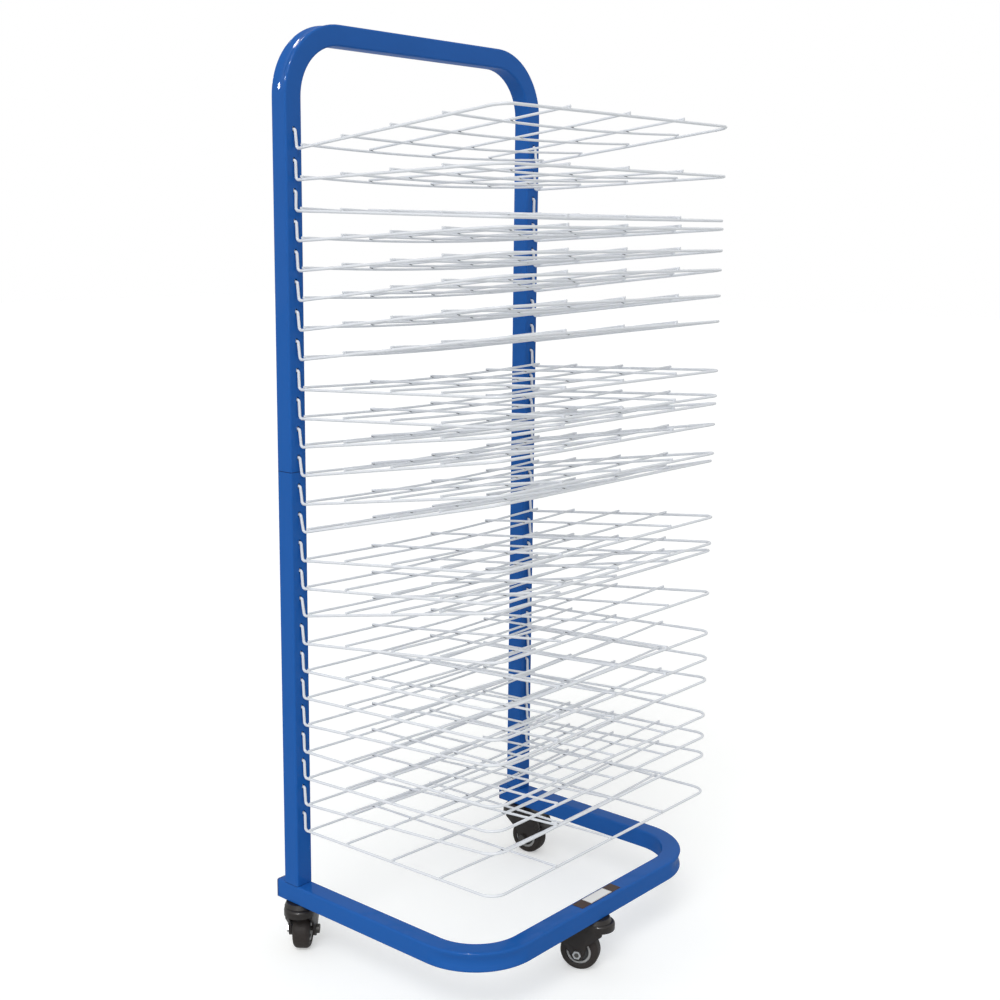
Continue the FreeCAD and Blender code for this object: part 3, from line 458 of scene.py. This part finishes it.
def label_film(effects, settings):
    """A bare printed film: dark ends, a white field between them with a thin grey frame."""
    material, tree, shader, where, base = finish(
        "label film", effects, settings.label_ends, shaded(settings.label_ends, 0.6), 0.3,
        tone=(90.0, 0.5), gloss=(120.0, 0.1), grain=(500.0, 2500.0, 0.3), bump=0.12,
        height=0.0002, coat=0.1, coat_roughness=0.15, specular=0.1)
    low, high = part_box("label_plate")
    middle = (low + high) / 2 + Vector((0, settings.field_offset, 0))
    centred = add(tree, "ShaderNodeMapping", vector_type="TEXTURE")
    centred.inputs["Location"].default_value = (middle.x, middle.y, 0)
    tree.links.new(where, centred.inputs["Vector"])
    split = add(tree, "ShaderNodeSeparateXYZ")
    tree.links.new(centred.outputs["Vector"], split.inputs[0])
    across = maths(tree, "ABSOLUTE", split.outputs["X"])
    along = maths(tree, "ABSOLUTE", split.outputs["Y"])

    def inside(inset):
        """1 inside the field made smaller by an inset, and 0 outside."""
        in_width = maths(tree, "LESS_THAN", across, settings.field_width / 2 - inset)
        in_length = maths(tree, "LESS_THAN", along, settings.field_length / 2 - inset)
        return maths(tree, "MULTIPLY", in_width, in_length)

    colour = mixed(tree, inside(0), base, settings.field)
    inner_edge = settings.rim_inset + settings.rim_width
    rim = maths(tree, "SUBTRACT", inside(settings.rim_inset), inside(inner_edge))
    base_colour(tree, shader, mixed(tree, rim, colour, settings.rim))
    return material


MATERIALS = {}


def build_materials(scene):
    """All finishes, once."""
    if MATERIALS:
        return MATERIALS
    effects = build_effects()
    MATERIALS["paint"] = blue_paint(effects, scene.rack_tubes)
    MATERIALS["post_paint"] = blue_paint(
        effects, scene.rack_tubes, "blue powder coat of the posts", (MID_JOINT, LEG_TOP))
    MATERIALS["wire"] = white_wire(effects, scene.rack_trays)
    # dark weld spots: weld marks plus painted shade in the nooks of the crossings
    MATERIALS["weld"] = weld_mark_and_shade(effects, scene.rack_trays)
    MATERIALS["zinc"] = bright_steel(effects, scene.rack_castors)
    MATERIALS["dark_steel"] = dark_steel(effects, scene.rack_castors)
    MATERIALS["nylon"] = black_plastic(effects, scene.rack_castors)
    MATERIALS["hub"] = hub_plastic(effects, "grey hub plastic", scene.rack_castors.hub)
    # the hub dish's own material is darkened as painted shade of its recess
    MATERIALS["dish"] = hub_plastic(effects, "hub plastic, painted dish shade", scene.rack_castors.dish)
    MATERIALS["rubber"] = tyre_rubber(effects, scene.rack_castors)
    MATERIALS["cap"] = cap_plastic(effects, scene.rack_tubes)
    MATERIALS["label"] = label_film(effects, scene.rack_label)
    return MATERIALS


def dress(node, material):
    """Gives a CAD node its finish."""
    slots = NODES[node].material_slots
    if not slots:
        NODES[node].data.materials.append(material)
    for slot in slots:
        slot.material = material


# ---- Settings -------------------------------------------------------------------------------
class RackTubes(PropertyGroup):
    """Sizes and colours of the painted tubes."""

    paint: FloatVectorProperty(
        name="Paint", description="Colour of the powder coat", subtype="COLOR",
        default=(0.014, 0.108, 0.405), min=0, max=1)
    cap: FloatVectorProperty(
        name="Cap", description="Colour of the leg caps", subtype="COLOR",
        default=(0.008, 0.022, 0.12), min=0, max=1)
    cap_pale: FloatVectorProperty(
        name="Pale cap", description="Colour of the leg caps' paler patches", subtype="COLOR",
        default=(0.014, 0.035, 0.16), min=0, max=1)
    paint_roughness: FloatProperty(
        name="Paint roughness", description="Roughness of the powder coat under its gloss",
        subtype="FACTOR", default=0.3, min=0, max=1)
    seam_width: FloatProperty(
        name="Seam width", description="Width of the dark line where tubes meet", unit="LENGTH",
        default=1.4 * MM, min=0)
    sink: FloatProperty(
        name="Sink", description="How far the outer wall sinks in at a bend", unit="LENGTH",
        default=2.5 * MM, min=0)
    rows: IntProperty(
        name="Rows", description="Cuts along a bend's outer wall on each side of its middle",
        default=4, min=1, max=8)


class RackTrays(PropertyGroup):
    """Sizes and colours of the wire trays."""

    coating: FloatVectorProperty(
        name="Coating", description="Colour of the wires' coating", subtype="COLOR",
        default=(0.755, 0.78, 0.82), min=0, max=1)
    lifted: FloatProperty(
        name="Lifted angle", description="Angle at which a tray's lift ends", subtype="ANGLE",
        default=math.radians(70))
    drop: FloatProperty(
        name="Drop", description="From the hook holes down to the side wires", unit="LENGTH",
        default=22.5 * MM)
    frame_wire: FloatProperty(
        name="Frame wire", description="Diameter of the outer wire", unit="LENGTH", default=3.5 * MM)
    grid_wire: FloatProperty(
        name="Grid wire", description="Diameter of the wires inside", unit="LENGTH", default=3 * MM)
    bow: FloatProperty(
        name="Bow", description="How far the wires inside a tray hang through in its middle",
        unit="LENGTH", default=4.8 * MM, min=0)
    weld_width: FloatProperty(
        name="Weld width", description="Width of the spot where two wires are welded",
        unit="LENGTH", default=4.2 * MM)
    weld_height: FloatProperty(
        name="Weld height", description="Height of the spot where two wires are welded",
        unit="LENGTH", default=2.1 * MM)


class RackCastors(PropertyGroup):
    """Sizes and colours of the castors."""

    plastic: FloatVectorProperty(
        name="Fork", description="Colour of the forks and pedals", subtype="COLOR",
        default=(0.015, 0.0125, 0.0115), min=0, max=1)
    rubber: FloatVectorProperty(
        name="Tyre", description="Colour of the tyres", subtype="COLOR",
        default=(0.016, 0.0125, 0.0115), min=0, max=1)
    hub: FloatVectorProperty(
        name="Hub", description="Colour of the wheel hubs", subtype="COLOR",
        default=(0.42, 0.42, 0.415), min=0, max=1)
    # colour inside the hubs' lips: painted shade, the recessed dish darkened as if in shadow
    dish: FloatVectorProperty(
        name="Dish", description="Colour inside the hubs' lips", subtype="COLOR",
        default=(0.06, 0.062, 0.064), min=0, max=1)
    dust_on_nylon: FloatVectorProperty(
        name="Dust on nylon", description="Colour of the dust on forks and pedals",
        subtype="COLOR", default=(0.09, 0.075, 0.065), min=0, max=1)
    dust_on_rubber: FloatVectorProperty(
        name="Dust on rubber", description="Colour of the dust on the tyres", subtype="COLOR",
        default=(0.10, 0.085, 0.075), min=0, max=1)
    zinc: FloatVectorProperty(
        name="Zinc", description="Colour of the plated steel", subtype="COLOR",
        default=(0.62, 0.63, 0.64), min=0, max=1)
    dull_zinc: FloatVectorProperty(
        name="Dull zinc", description="Colour of the plated steel's dull patches",
        subtype="COLOR", default=(0.42, 0.43, 0.45), min=0, max=1)
    axle: FloatVectorProperty(
        name="Axle", description="Colour of the blackened axle heads", subtype="COLOR",
        default=(0.10, 0.095, 0.09), min=0, max=1)
    axle_deep: FloatVectorProperty(
        name="Deep axle", description="Colour of the axle heads' darker patches",
        subtype="COLOR", default=(0.05, 0.05, 0.05), min=0, max=1)
    edge: FloatProperty(
        name="Edge", description="Rounding of the moulded edges", unit="LENGTH", default=0.7 * MM)
    steps: IntProperty(
        name="Steps", description="Segments round a wheel", default=96, min=16, max=256)


class RackLabel(PropertyGroup):
    """Sizes and colours of the bare label."""

    label_ends: FloatVectorProperty(
        name="Ends", description="Colour of the label's two ends", subtype="COLOR",
        default=(0.05, 0.024, 0.016), min=0, max=1)
    field: FloatVectorProperty(
        name="Field", description="Colour of the white field", subtype="COLOR",
        default=(0.80, 0.80, 0.79), min=0, max=1)
    rim: FloatVectorProperty(
        name="Rim", description="Colour of the thin frame in the field", subtype="COLOR",
        default=(0.30, 0.31, 0.34), min=0, max=1)
    field_length: FloatProperty(
        name="Field length", description="Length of the white field", unit="LENGTH", default=43 * MM)
    field_width: FloatProperty(
        name="Field width", description="Width of the white field", unit="LENGTH", default=15.4 * MM)
    field_offset: FloatProperty(
        name="Field offset", description="From the label's middle to the field's middle",
        unit="LENGTH", default=0.5 * MM)
    rim_inset: FloatProperty(
        name="Rim inset", description="From the field's edge to its thin frame", unit="LENGTH",
        default=0.7 * MM, min=0)
    rim_width: FloatProperty(
        name="Rim width", description="Width of the thin frame", unit="LENGTH",
        default=0.42 * MM, min=0)
    corner: FloatProperty(
        name="Corner", description="Radius of the film's corners", unit="LENGTH", default=1.2 * MM)
    edge: FloatProperty(
        name="Edge", description="Bevel of the film's upper and lower edges", unit="LENGTH",
        default=0.12 * MM)


class RackStage(PropertyGroup):
    """Floor, light and camera."""

    floor: FloatVectorProperty(
        name="Floor", description="Colour of the floor", subtype="COLOR",
        default=(0.75, 0.76, 0.75), min=0, max=1)
    floor_reach: FloatProperty(
        name="Floor reach", description="From the rack to the floor's edge", unit="LENGTH",
        default=14, min=1)
    floor_glow: FloatProperty(
        name="Floor glow", description="Plain white that the camera sees on the floor",
        default=0.36, min=0)
    surround: FloatProperty(
        name="Surround", description="Strength of the light from all round", default=0.58, min=0)
    slope: FloatProperty(
        name="Slope", description="How much stronger the surround is on its bright side",
        default=0.25, min=0)
    bright_side: FloatVectorProperty(
        name="Bright side", description="Direction of the surround's bright side", subtype="XYZ",
        default=(0.0, -0.8, 0.3))
    key: FloatProperty(
        name="Key light", description="Strength of the light on the left", default=1.3, min=0)
    key_width: FloatProperty(
        name="Key width", description="Angle across the key light", subtype="ANGLE",
        default=math.radians(30))
    key_from: FloatVectorProperty(
        name="Key from", description="Direction the key light comes from", subtype="XYZ",
        default=(0.35, -0.62, 0.7))
    glint: FloatProperty(
        name="Glint", description="Strength of each small lamp that only gloss reflects", default=2.0,
        min=0)
    glint_width: FloatProperty(
        name="Glint width", description="Angle across each small lamp", subtype="ANGLE",
        default=math.radians(9))
    glint_low: FloatVectorProperty(
        name="Low glint", description="Direction of the lower small lamp behind the rack",
        subtype="XYZ", default=(-0.75, -0.53, 0.38))
    glint_high: FloatVectorProperty(
        name="High glint", description="Direction of the upper small lamp behind the rack",
        subtype="XYZ", default=(-0.74, 0.15, 0.655))
    glint_ahead: FloatVectorProperty(
        name="Glint ahead", description="Direction of the small lamp on the camera's side",
        subtype="XYZ", default=(0.35, -0.62, 0.7))
    lens: FloatProperty(
        name="Lens", description="Focal length of the camera in millimetres", unit="CAMERA",
        default=52.37, min=1)
    eye: FloatVectorProperty(
        name="Eye", description="Place of the camera", subtype="XYZ", unit="LENGTH",
        default=(1.3103, -1.3840, 0.9263))
    yaw: FloatProperty(
        name="Yaw", description="Way the camera looks, turned from X", subtype="ANGLE",
        default=math.radians(130.39))
    pitch: FloatProperty(
        name="Pitch", description="How far the camera looks up", subtype="ANGLE",
        default=math.radians(-10.64))
    roll: FloatProperty(
        name="Roll", description="Turn of the camera about its own line of sight", subtype="ANGLE",
        default=math.radians(0.64))


# ---- Frame ----------------------------------------------------------------------------------
FLAT_HALF = TUBE / 2 - TUBE_CORNER  # from the middle of a tube's flat side to its corner
OUTER_WALL = BEND + TUBE / 2 - 1.6 * TUBE_WALL  # past this radius lies only a bend's outer wall
SINK_SHAPE = 1.5  # how fast the wall sinks away from the tube's corners
BEND_ENDS = 0.22  # share of a bend over which the sinking starts, and stops again


def sink_bends(bm, centres, level_axis, level, out_axis, sink, rows):
    """Lets the outer wall of each bend sink in, as it does when a square tube is bent.

    Each centre is (across, out): the bend's middle in the plane of the bend. level_axis is the
    axis square to that plane, and level the tube's middle along it.
    """
    across_axis = ({0, 1, 2} - {level_axis, out_axis}).pop()

    def polar(point, centre):
        """How far a point is across and out from a bend's middle, and its radius."""
        side = math.copysign(1, centre[0])
        across = (point[across_axis] - centre[0]) * side
        out = point[out_axis] - centre[1]
        return across, out, math.hypot(across, out)

    def on_outer_wall(face, centre):
        """Whether a face belongs to the bend's outer wall."""
        places = [polar(vert.co, centre) for vert in face.verts]
        return all(min(across, out) > -CLEARLY and radius > OUTER_WALL
                   for across, out, radius in places)

    for centre in centres:
        for row in range(-rows, rows + 1):
            faces = [face for face in bm.faces if on_outer_wall(face, centre)]
            edges = list({edge for face in faces for edge in face.edges})
            verts = list({vert for face in faces for vert in face.verts})
            where, square = Vector((0, 0, 0)), Vector((0, 0, 0))
            where[level_axis] = level + FLAT_HALF * row / (rows + 1)
            square[level_axis] = 1
            bmesh.ops.bisect_plane(bm, geom=faces + edges + verts, plane_co=where, plane_no=square,
                                   dist=GRAIN)
        for vert in bm.verts:
            across, out, radius = polar(vert.co, centre)
            share = (vert.co[level_axis] - level) / FLAT_HALF
            if min(across, out) < CLEARLY or radius < OUTER_WALL or abs(share) >= 1:
                continue
            angle = math.atan2(out, across) / (math.pi / 2)
            ends = min(angle, 1 - angle) / BEND_ENDS
            ease = 1 if ends >= 1 else ends * ends * (3 - 2 * ends)
            depth = sink * (1 - share * share) ** SINK_SHAPE * ease
            scale = (radius - depth) / radius
            side = math.copysign(1, centre[0])
            vert.co[across_axis] = centre[0] + side * across * scale
            vert.co[out_axis] = centre[1] + out * scale
    return bm


class RACK_OT_tubes(Operator):
    """Paint the posts and make the two bent tubes, whose outer walls sink in at the bends."""

    bl_idname = "rack.tubes"
    bl_label = "Tubes"

    def execute(self, context):
        finishes = build_materials(context.scene)
        settings = context.scene.rack_tubes
        for node in ("left_lower_post", "right_lower_post"):
            dress(node, finishes["post_paint"])
        for node in ("left_spigot", "right_spigot", "castor_inserts"):
            dress(node, finishes["zinc"])
        bend_y = POSTS_APART / 2 - BEND
        bends = (
            ("base_frame", "base_tube", "paint", 2, BASE_LEVEL, 0, BAR_X - BEND),
            ("arch_frame", "arch_tube", "post_paint", 0, POST_X, 2, ARCH_TOP - TUBE / 2 - BEND),
        )
        for node, name, coat, level_axis, level, out_axis, out in bends:
            bm = sink_bends(node_copy(node), ((bend_y, out), (-bend_y, out)), level_axis, level,
                            out_axis, settings.sink, settings.rows)
            tube = piece(name, bm, BODY_OF[node], [finishes[coat]])
            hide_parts(node)
        return {"FINISHED"}


class RACK_OT_fittings(Operator):
    """Finish the leg caps and the screws of the post joints."""

    bl_idname = "rack.fittings"
    bl_label = "Caps and screws"

    def execute(self, context):
        finishes = build_materials(context.scene)
        for node in ("left_leg_cap", "right_leg_cap"):
            dress(node, finishes["cap"])
        dress("joint_screws", finishes["zinc"])
        return {"FINISHED"}


class RACK_OT_label(Operator):
    """Make the bare label on the front bar."""

    bl_idname = "rack.label"
    bl_label = "Label"

    def execute(self, context):
        finishes = build_materials(context.scene)
        settings = context.scene.rack_label
        low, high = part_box("label_plate")
        bm = bmesh.new()
        bmesh.ops.create_cube(bm, size=1)
        bmesh.ops.scale(bm, vec=high - low, verts=bm.verts)
        bmesh.ops.translate(bm, vec=(low + high) / 2, verts=bm.verts)
        upright = [
            edge for edge in bm.edges
            if abs(edge.verts[0].co.z - edge.verts[1].co.z) > CLEARLY
        ]
        bmesh.ops.bevel(bm, geom=upright, offset=settings.corner, affect="EDGES", segments=5,
                        profile=0.5, material=-1)
        soften(bm, settings.edge, over=60, segments=1)
        label = piece("label_film", bm, BODY_OF["label_plate"], [finishes["label"]])
        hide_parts("label_plate")
        return {"FINISHED"}


# ---- Trays ----------------------------------------------------------------------------------
HOLE_MIDDLE = TUBE_WALL / 2  # the hinge lies this far behind the posts' front faces
CROSS_WIRES = [reach * MM for reach in (13, 80, 158, 236)]  # from those faces, forward
LONG_WIRES = [step * MM for step in (-110, 0, 110)]  # from the rack's middle, sideways
FRONT_WIRE = 317.5 * MM  # middle of the front wire, from those faces
GRID_INSIDE = POSTS_APART / 2 - 2 * MM  # the side wires start here and stay straight
BOW_FULL = 240 * MM  # from here forward the bow dies out
BOW_ENDS = 316.5 * MM  # just behind the front wire, which stays straight
CUT_STEP = 22 * MM  # between the cuts that let a cross wire bend; none of them is on a wire
CUTS = 10  # on each side of the rack's middle
GRID_CUTS = [side * (step + 0.5) * CUT_STEP for side in (-1, 1) for step in range(CUTS)]
WELD_FACES = (8, 5)  # of a weld spot, round it and from top to bottom


def bowed(place, bow):
    """A place inside a tray after its wires hang through; the outer wire stays as it is."""
    across = max(0, 1 - (place.y / GRID_INSIDE) ** 2)
    share = min(max((BOW_ENDS - place.x) / (BOW_ENDS - BOW_FULL), 0), 1)
    return Vector((place.x, place.y, place.z - bow * across * share))


def bowed_wires(node, place, bow):
    """A tray's wires with the inner ones hanging through."""
    bm = flat_merged(node_copy(node))
    bmesh.ops.transform(bm, matrix=place.inverted(), verts=bm.verts)
    for cut in GRID_CUTS:
        bmesh.ops.bisect_plane(
            bm, geom=bm.verts[:] + bm.edges[:] + bm.faces[:], plane_co=(0, cut, 0),
            plane_no=(0, 1, 0), dist=GRAIN)
    for vert in bm.verts:
        vert.co = bowed(vert.co, bow)
    bmesh.ops.transform(bm, matrix=place, verts=bm.verts)
    return bm


def weld_places(settings):
    """Where the wires of a tray touch, from its hinge, with the tray level.

    First the ends of the wires, then where two cross inside the tray.
    """
    half = POSTS_APART / 2
    cross_x = [HOLE_MIDDLE + reach for reach in CROSS_WIRES]
    on_frame = -settings.drop + settings.frame_wire / 2
    on_cross = on_frame + settings.grid_wire
    ends = [(x, side, on_frame) for x in cross_x for side in (-half, half)]
    ends += [(HOLE_MIDDLE + FRONT_WIRE, y, on_frame) for y in LONG_WIRES]
    crossings = [
        bowed(Vector((x, y, on_cross)), settings.bow) for x in cross_x for y in LONG_WIRES
    ]
    return ends, crossings


def weld_spots(settings):
    """Flattened balls at a tray's welds: the ends of the wires, then the crossings, as slots; the crossings' slot
    is dark, partly weld marks, partly painted shade.
    """
    size = (settings.weld_width, settings.weld_width, settings.weld_height)
    bm = bmesh.new()
    for coat, places in enumerate(weld_places(settings)):
        for place in places:
            made = bmesh.ops.create_uvsphere(
                bm, u_segments=WELD_FACES[0], v_segments=WELD_FACES[1], radius=0.5)
            bmesh.ops.scale(bm, vec=size, verts=made["verts"])
            bmesh.ops.translate(bm, vec=place, verts=made["verts"])
            for face in {face for vert in made["verts"] for face in vert.link_faces}:
                face.material_index = coat
    return bm


class RACK_OT_trays(Operator):
    """Bow and coat the tray wires and set a weld spot where two of them cross."""

    bl_idname = "rack.trays"
    bl_label = "Trays"

    def execute(self, context):
        finishes = build_materials(context.scene)
        settings = context.scene.rack_trays
        for node in TRAYS:
            joint = JOINTS[node + "_lift"]
            tilt = math.degrees(settings.lifted) - max(joint["range_deg"])
            turn = Matrix.Rotation(math.radians(-tilt), 4, "Y")
            place = Matrix.Translation(Vector(joint["pos_m"])) @ turn
            bm = bowed_wires(node, place, settings.bow)
            wires = piece(node + "_wires", bm, BODY_OF[node], [finishes["wire"]])
            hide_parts(node)
            bm = weld_spots(settings)
            bmesh.ops.transform(bm, matrix=place, verts=bm.verts)
            # the second finish darkens the crossings: weld marks and painted shade in their nooks
            coats = [finishes["wire"], finishes["weld"]]
            piece(node + "_welds", bm, BODY_OF[node], coats)
        return {"FINISHED"}


# ---- Castors --------------------------------------------------------------------------------
TYRE_OUTLINE = (  # radius and distance along the axle, in millimetres, one half
    (16.25, 10.6), (16.7, 10.9), (17.3, 11.0), (19.2, 11.0), (20.6, 10.85), (21.8, 10.4),
    (22.9, 9.7), (23.9, 8.6), (24.6, 7.2), (24.93, 5.4), (25.0, 3.4), (25.0, 0.0))
HUB_OUTLINE = (
    (3.1, 10.0), (7.2, 10.0), (7.8, 9.6), (8.0, 9.0), (8.1, 5.6), (8.5, 5.05), (9.2, 4.95),
    (11.6, 4.95), (12.4, 5.3), (12.7, 6.0), (12.75, 9.0), (13.1, 9.7), (13.8, 10.0), (14.9, 10.0),
    (15.6, 9.7), (16.0, 9.3), (16.25, 9.2))
HUB_LIP = 12.74 * MM  # inner radius of the hub's lip; inside it the hub is painted darker, as shade in its dish


def mirrored_outline(half):
    """A closed outline from the half on one side of the wheel."""
    near = [(radius * MM, along * MM) for radius, along in half]
    far = [(radius, -along) for radius, along in reversed(near) if along > 0]
    return near + far


class RACK_OT_wheels(Operator):
    """Turn the tyres and hubs of the castor wheels."""

    bl_idname = "rack.wheels"
    bl_label = "Wheels"

    def execute(self, context):
        finishes = build_materials(context.scene)
        steps = context.scene.rack_castors.steps
        for seat in CASTORS:
            for node, half, coats, slot in (
                    (seat + "_tyre", TYRE_OUTLINE, ("rubber",), "black_tyre"),
                    (seat + "_wheel_hub", HUB_OUTLINE, ("hub", "dish"), "grey_hub")):
                bm = spun(mirrored_outline(half), steps)
                for face in bm.faces:  # inside its lip a hub has its second finish, darkened as painted shade in the dish
                    middle = face.calc_center_median()
                    face.material_index = int(math.hypot(middle.x, middle.z) < HUB_LIP)
                bmesh.ops.transform(bm, matrix=castor_turn(seat), verts=bm.verts)
                coated = [finishes[coat] for coat in coats]
                made = piece(node + "_turned", bm, BODY_OF[node], coated)
                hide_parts(node)
        return {"FINISHED"}


class RACK_OT_forks(Operator):
    """Round the edges of the forks and brake pedals."""

    bl_idname = "rack.forks"
    bl_label = "Forks and pedals"

    def execute(self, context):
        finishes = build_materials(context.scene)
        settings = context.scene.rack_castors
        nodes = [seat + "_castor_fork" for seat in CASTORS]
        nodes += [seat + "_brake_pedal" for seat in BRAKED]
        for node in nodes:
            bm = soften(flat_merged(node_copy(node)), settings.edge)
            made = piece(node + "_moulded", bm, BODY_OF[node], [finishes["nylon"]])
            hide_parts(node)
        return {"FINISHED"}


class RACK_OT_axles(Operator):
    """Finish the stems, bearings, axle bolts and nuts."""

    bl_idname = "rack.axles"
    bl_label = "Stems and axles"

    def execute(self, context):
        finishes = build_materials(context.scene)
        for seat in CASTORS:
            dress(seat + "_castor_stem", finishes["zinc"])
            dress(seat + "_castor_bearing", finishes["nylon"])
            dress(seat + "_axle_bolt", finishes["dark_steel"])
            dress(seat + "_axle_nut", finishes["zinc"])
        return {"FINISHED"}


# ---- Stage ----------------------------------------------------------------------------------
def seen_plain(tree):
    """1 for what the camera, gloss and glass see, and 0 for what lights the object."""
    light = tree.nodes.new("ShaderNodeLightPath")
    seen = maths(tree, "ADD", light.outputs["Is Camera Ray"], light.outputs["Is Glossy Ray"])
    return maths(tree, "ADD", seen, light.outputs["Is Transmission Ray"], clamp=True)


def sun_lamp(name, power, spread, towards):
    """A soft sun lamp that shines from a direction."""
    lamp = bpy.data.lights.new(name, "SUN")
    lamp.energy = power
    lamp.angle = spread
    holder = bpy.data.objects.new(name, lamp)
    bpy.context.scene.collection.objects.link(holder)
    holder.rotation_euler = Vector(towards).to_track_quat("Z", "Y").to_euler()
    return holder


def light_surround(scene, settings):
    """Even light from all round, a little stronger on its bright side, seen as plain white."""
    world = bpy.data.worlds.new("pale surround")
    scene.world = world
    world.use_nodes = True
    tree = world.node_tree
    background = tree.nodes["Background"]
    background.inputs["Color"].default_value = (1, 1, 1, 1)
    way = tree.nodes.new("ShaderNodeTexCoord").outputs["Generated"]
    facing = add(tree, "ShaderNodeVectorMath", operation="DOT_PRODUCT")
    facing.inputs[1].default_value = Vector(settings.bright_side).normalized()
    tree.links.new(way, facing.inputs[0])
    lit = maths(tree, "MULTIPLY_ADD", facing.outputs["Value"], settings.slope, settings.surround)
    seen = seen_plain(tree)
    hidden = maths(tree, "SUBTRACT", 1.0, seen)
    strength = maths(tree, "MULTIPLY_ADD", hidden, lit, seen)
    tree.links.new(strength, background.inputs["Strength"])


def lay_floor(scene, settings):
    """A pale floor that the camera sees nearly white and that keeps the rack's shadow."""
    bm = bmesh.new()
    bmesh.ops.create_grid(bm, x_segments=2, y_segments=2, size=settings.floor_reach)
    mesh = bpy.data.meshes.new("floor")
    bm.to_mesh(mesh)
    bm.free()
    floor = bpy.data.objects.new("floor", mesh)
    scene.collection.objects.link(floor)
    material = bpy.data.materials.new("pale floor")
    material.use_nodes = True
    tree = material.node_tree
    shader = tree.nodes["Principled BSDF"]
    shader.inputs["Base Color"].default_value = (*settings.floor, 1)
    shader.inputs["Roughness"].default_value = 0.9
    shader.inputs["Specular IOR Level"].default_value = 0.1
    light = tree.nodes.new("ShaderNodeLightPath")
    glow = maths(tree, "MULTIPLY", light.outputs["Is Camera Ray"], settings.floor_glow)
    shader.inputs["Emission Color"].default_value = (1, 1, 1, 1)
    tree.links.new(glow, shader.inputs["Emission Strength"])
    mesh.materials.append(material)


def add_glints(settings):
    """Small lamps that only gloss reflects; the two behind the rack light the arch alone."""
    arch_alone = bpy.data.collections.new("arch alone")
    arch_alone.objects.link(bpy.data.objects["arch_tube"])
    for name, lights in (
            ("glint_low", arch_alone), ("glint_high", arch_alone), ("glint_ahead", None)):
        lamp = sun_lamp(name, settings.glint, settings.glint_width, getattr(settings, name))
        lamp.visible_diffuse = False
        lamp.light_linking.receiver_collection = lights


def set_camera(scene, settings):
    """The camera at its eye, turned by yaw, pitch and roll."""
    camera = bpy.data.cameras.new("camera")
    camera.lens = settings.lens
    camera.sensor_width = SENSOR_WIDTH
    holder = bpy.data.objects.new("camera", camera)
    scene.collection.objects.link(holder)
    level = math.cos(settings.pitch)
    ahead = Vector((math.cos(settings.yaw) * level, math.sin(settings.yaw) * level,
                    math.sin(settings.pitch)))
    right = ahead.cross(Vector((0, 0, 1))).normalized()
    above = right.cross(ahead)
    cos, sin = math.cos(settings.roll), math.sin(settings.roll)
    right, above = cos * right + sin * above, cos * above - sin * right
    turn = Matrix((right, above, -ahead)).transposed().to_4x4()
    holder.matrix_world = Matrix.Translation(Vector(settings.eye)) @ turn
    scene.camera = holder


class RACK_OT_stage(Operator):
    """Set up the floor, the light and the camera."""

    bl_idname = "rack.stage"
    bl_label = "Stage"

    def execute(self, context):
        scene = context.scene
        settings = scene.rack_stage
        scene.view_settings.view_transform = "Standard"
        light_surround(scene, settings)
        lay_floor(scene, settings)
        sun_lamp("key_light", settings.key, settings.key_width, settings.key_from)
        add_glints(settings)
        set_camera(scene, settings)
        return {"FINISHED"}


class RACK_PT_panel(Panel):
    """Lists the steps of the rack."""

    bl_idname = "RACK_PT_panel"
    bl_label = "Drying rack"
    bl_space_type = "VIEW_3D"
    bl_region_type = "UI"
    bl_category = "Drying rack"

    def draw(self, _context):
        for operator in OPERATORS:
            self.layout.operator(operator.bl_idname)


SETTINGS = {
    "rack_tubes": RackTubes,
    "rack_trays": RackTrays,
    "rack_castors": RackCastors,
    "rack_label": RackLabel,
    "rack_stage": RackStage,
}
OPERATORS = (
    RACK_OT_tubes,
    RACK_OT_fittings,
    RACK_OT_label,
    RACK_OT_trays,
    RACK_OT_wheels,
    RACK_OT_forks,
    RACK_OT_axles,
    RACK_OT_stage,
)


def register():
    """Registers the settings, operators and panel."""
    for name, settings in SETTINGS.items():
        bpy.utils.register_class(settings)
        setattr(bpy.types.Scene, name, PointerProperty(type=settings))
    for operator in OPERATORS:
        bpy.utils.register_class(operator)
    bpy.utils.register_class(RACK_PT_panel)


def unregister():
    """Takes them all out again."""
    bpy.utils.unregister_class(RACK_PT_panel)
    for operator in reversed(OPERATORS):
        bpy.utils.unregister_class(operator)
    for name, settings in SETTINGS.items():
        delattr(bpy.types.Scene, name)
        bpy.utils.unregister_class(settings)


def main():
    """Builds every piece in order."""
    register()
    bpy.ops.rack.tubes()
    bpy.ops.rack.fittings()
    bpy.ops.rack.label()
    bpy.ops.rack.trays()
    bpy.ops.rack.wheels()
    bpy.ops.rack.forks()
    bpy.ops.rack.axles()
    bpy.ops.rack.stage()


if __name__ == "__main__":
    main()
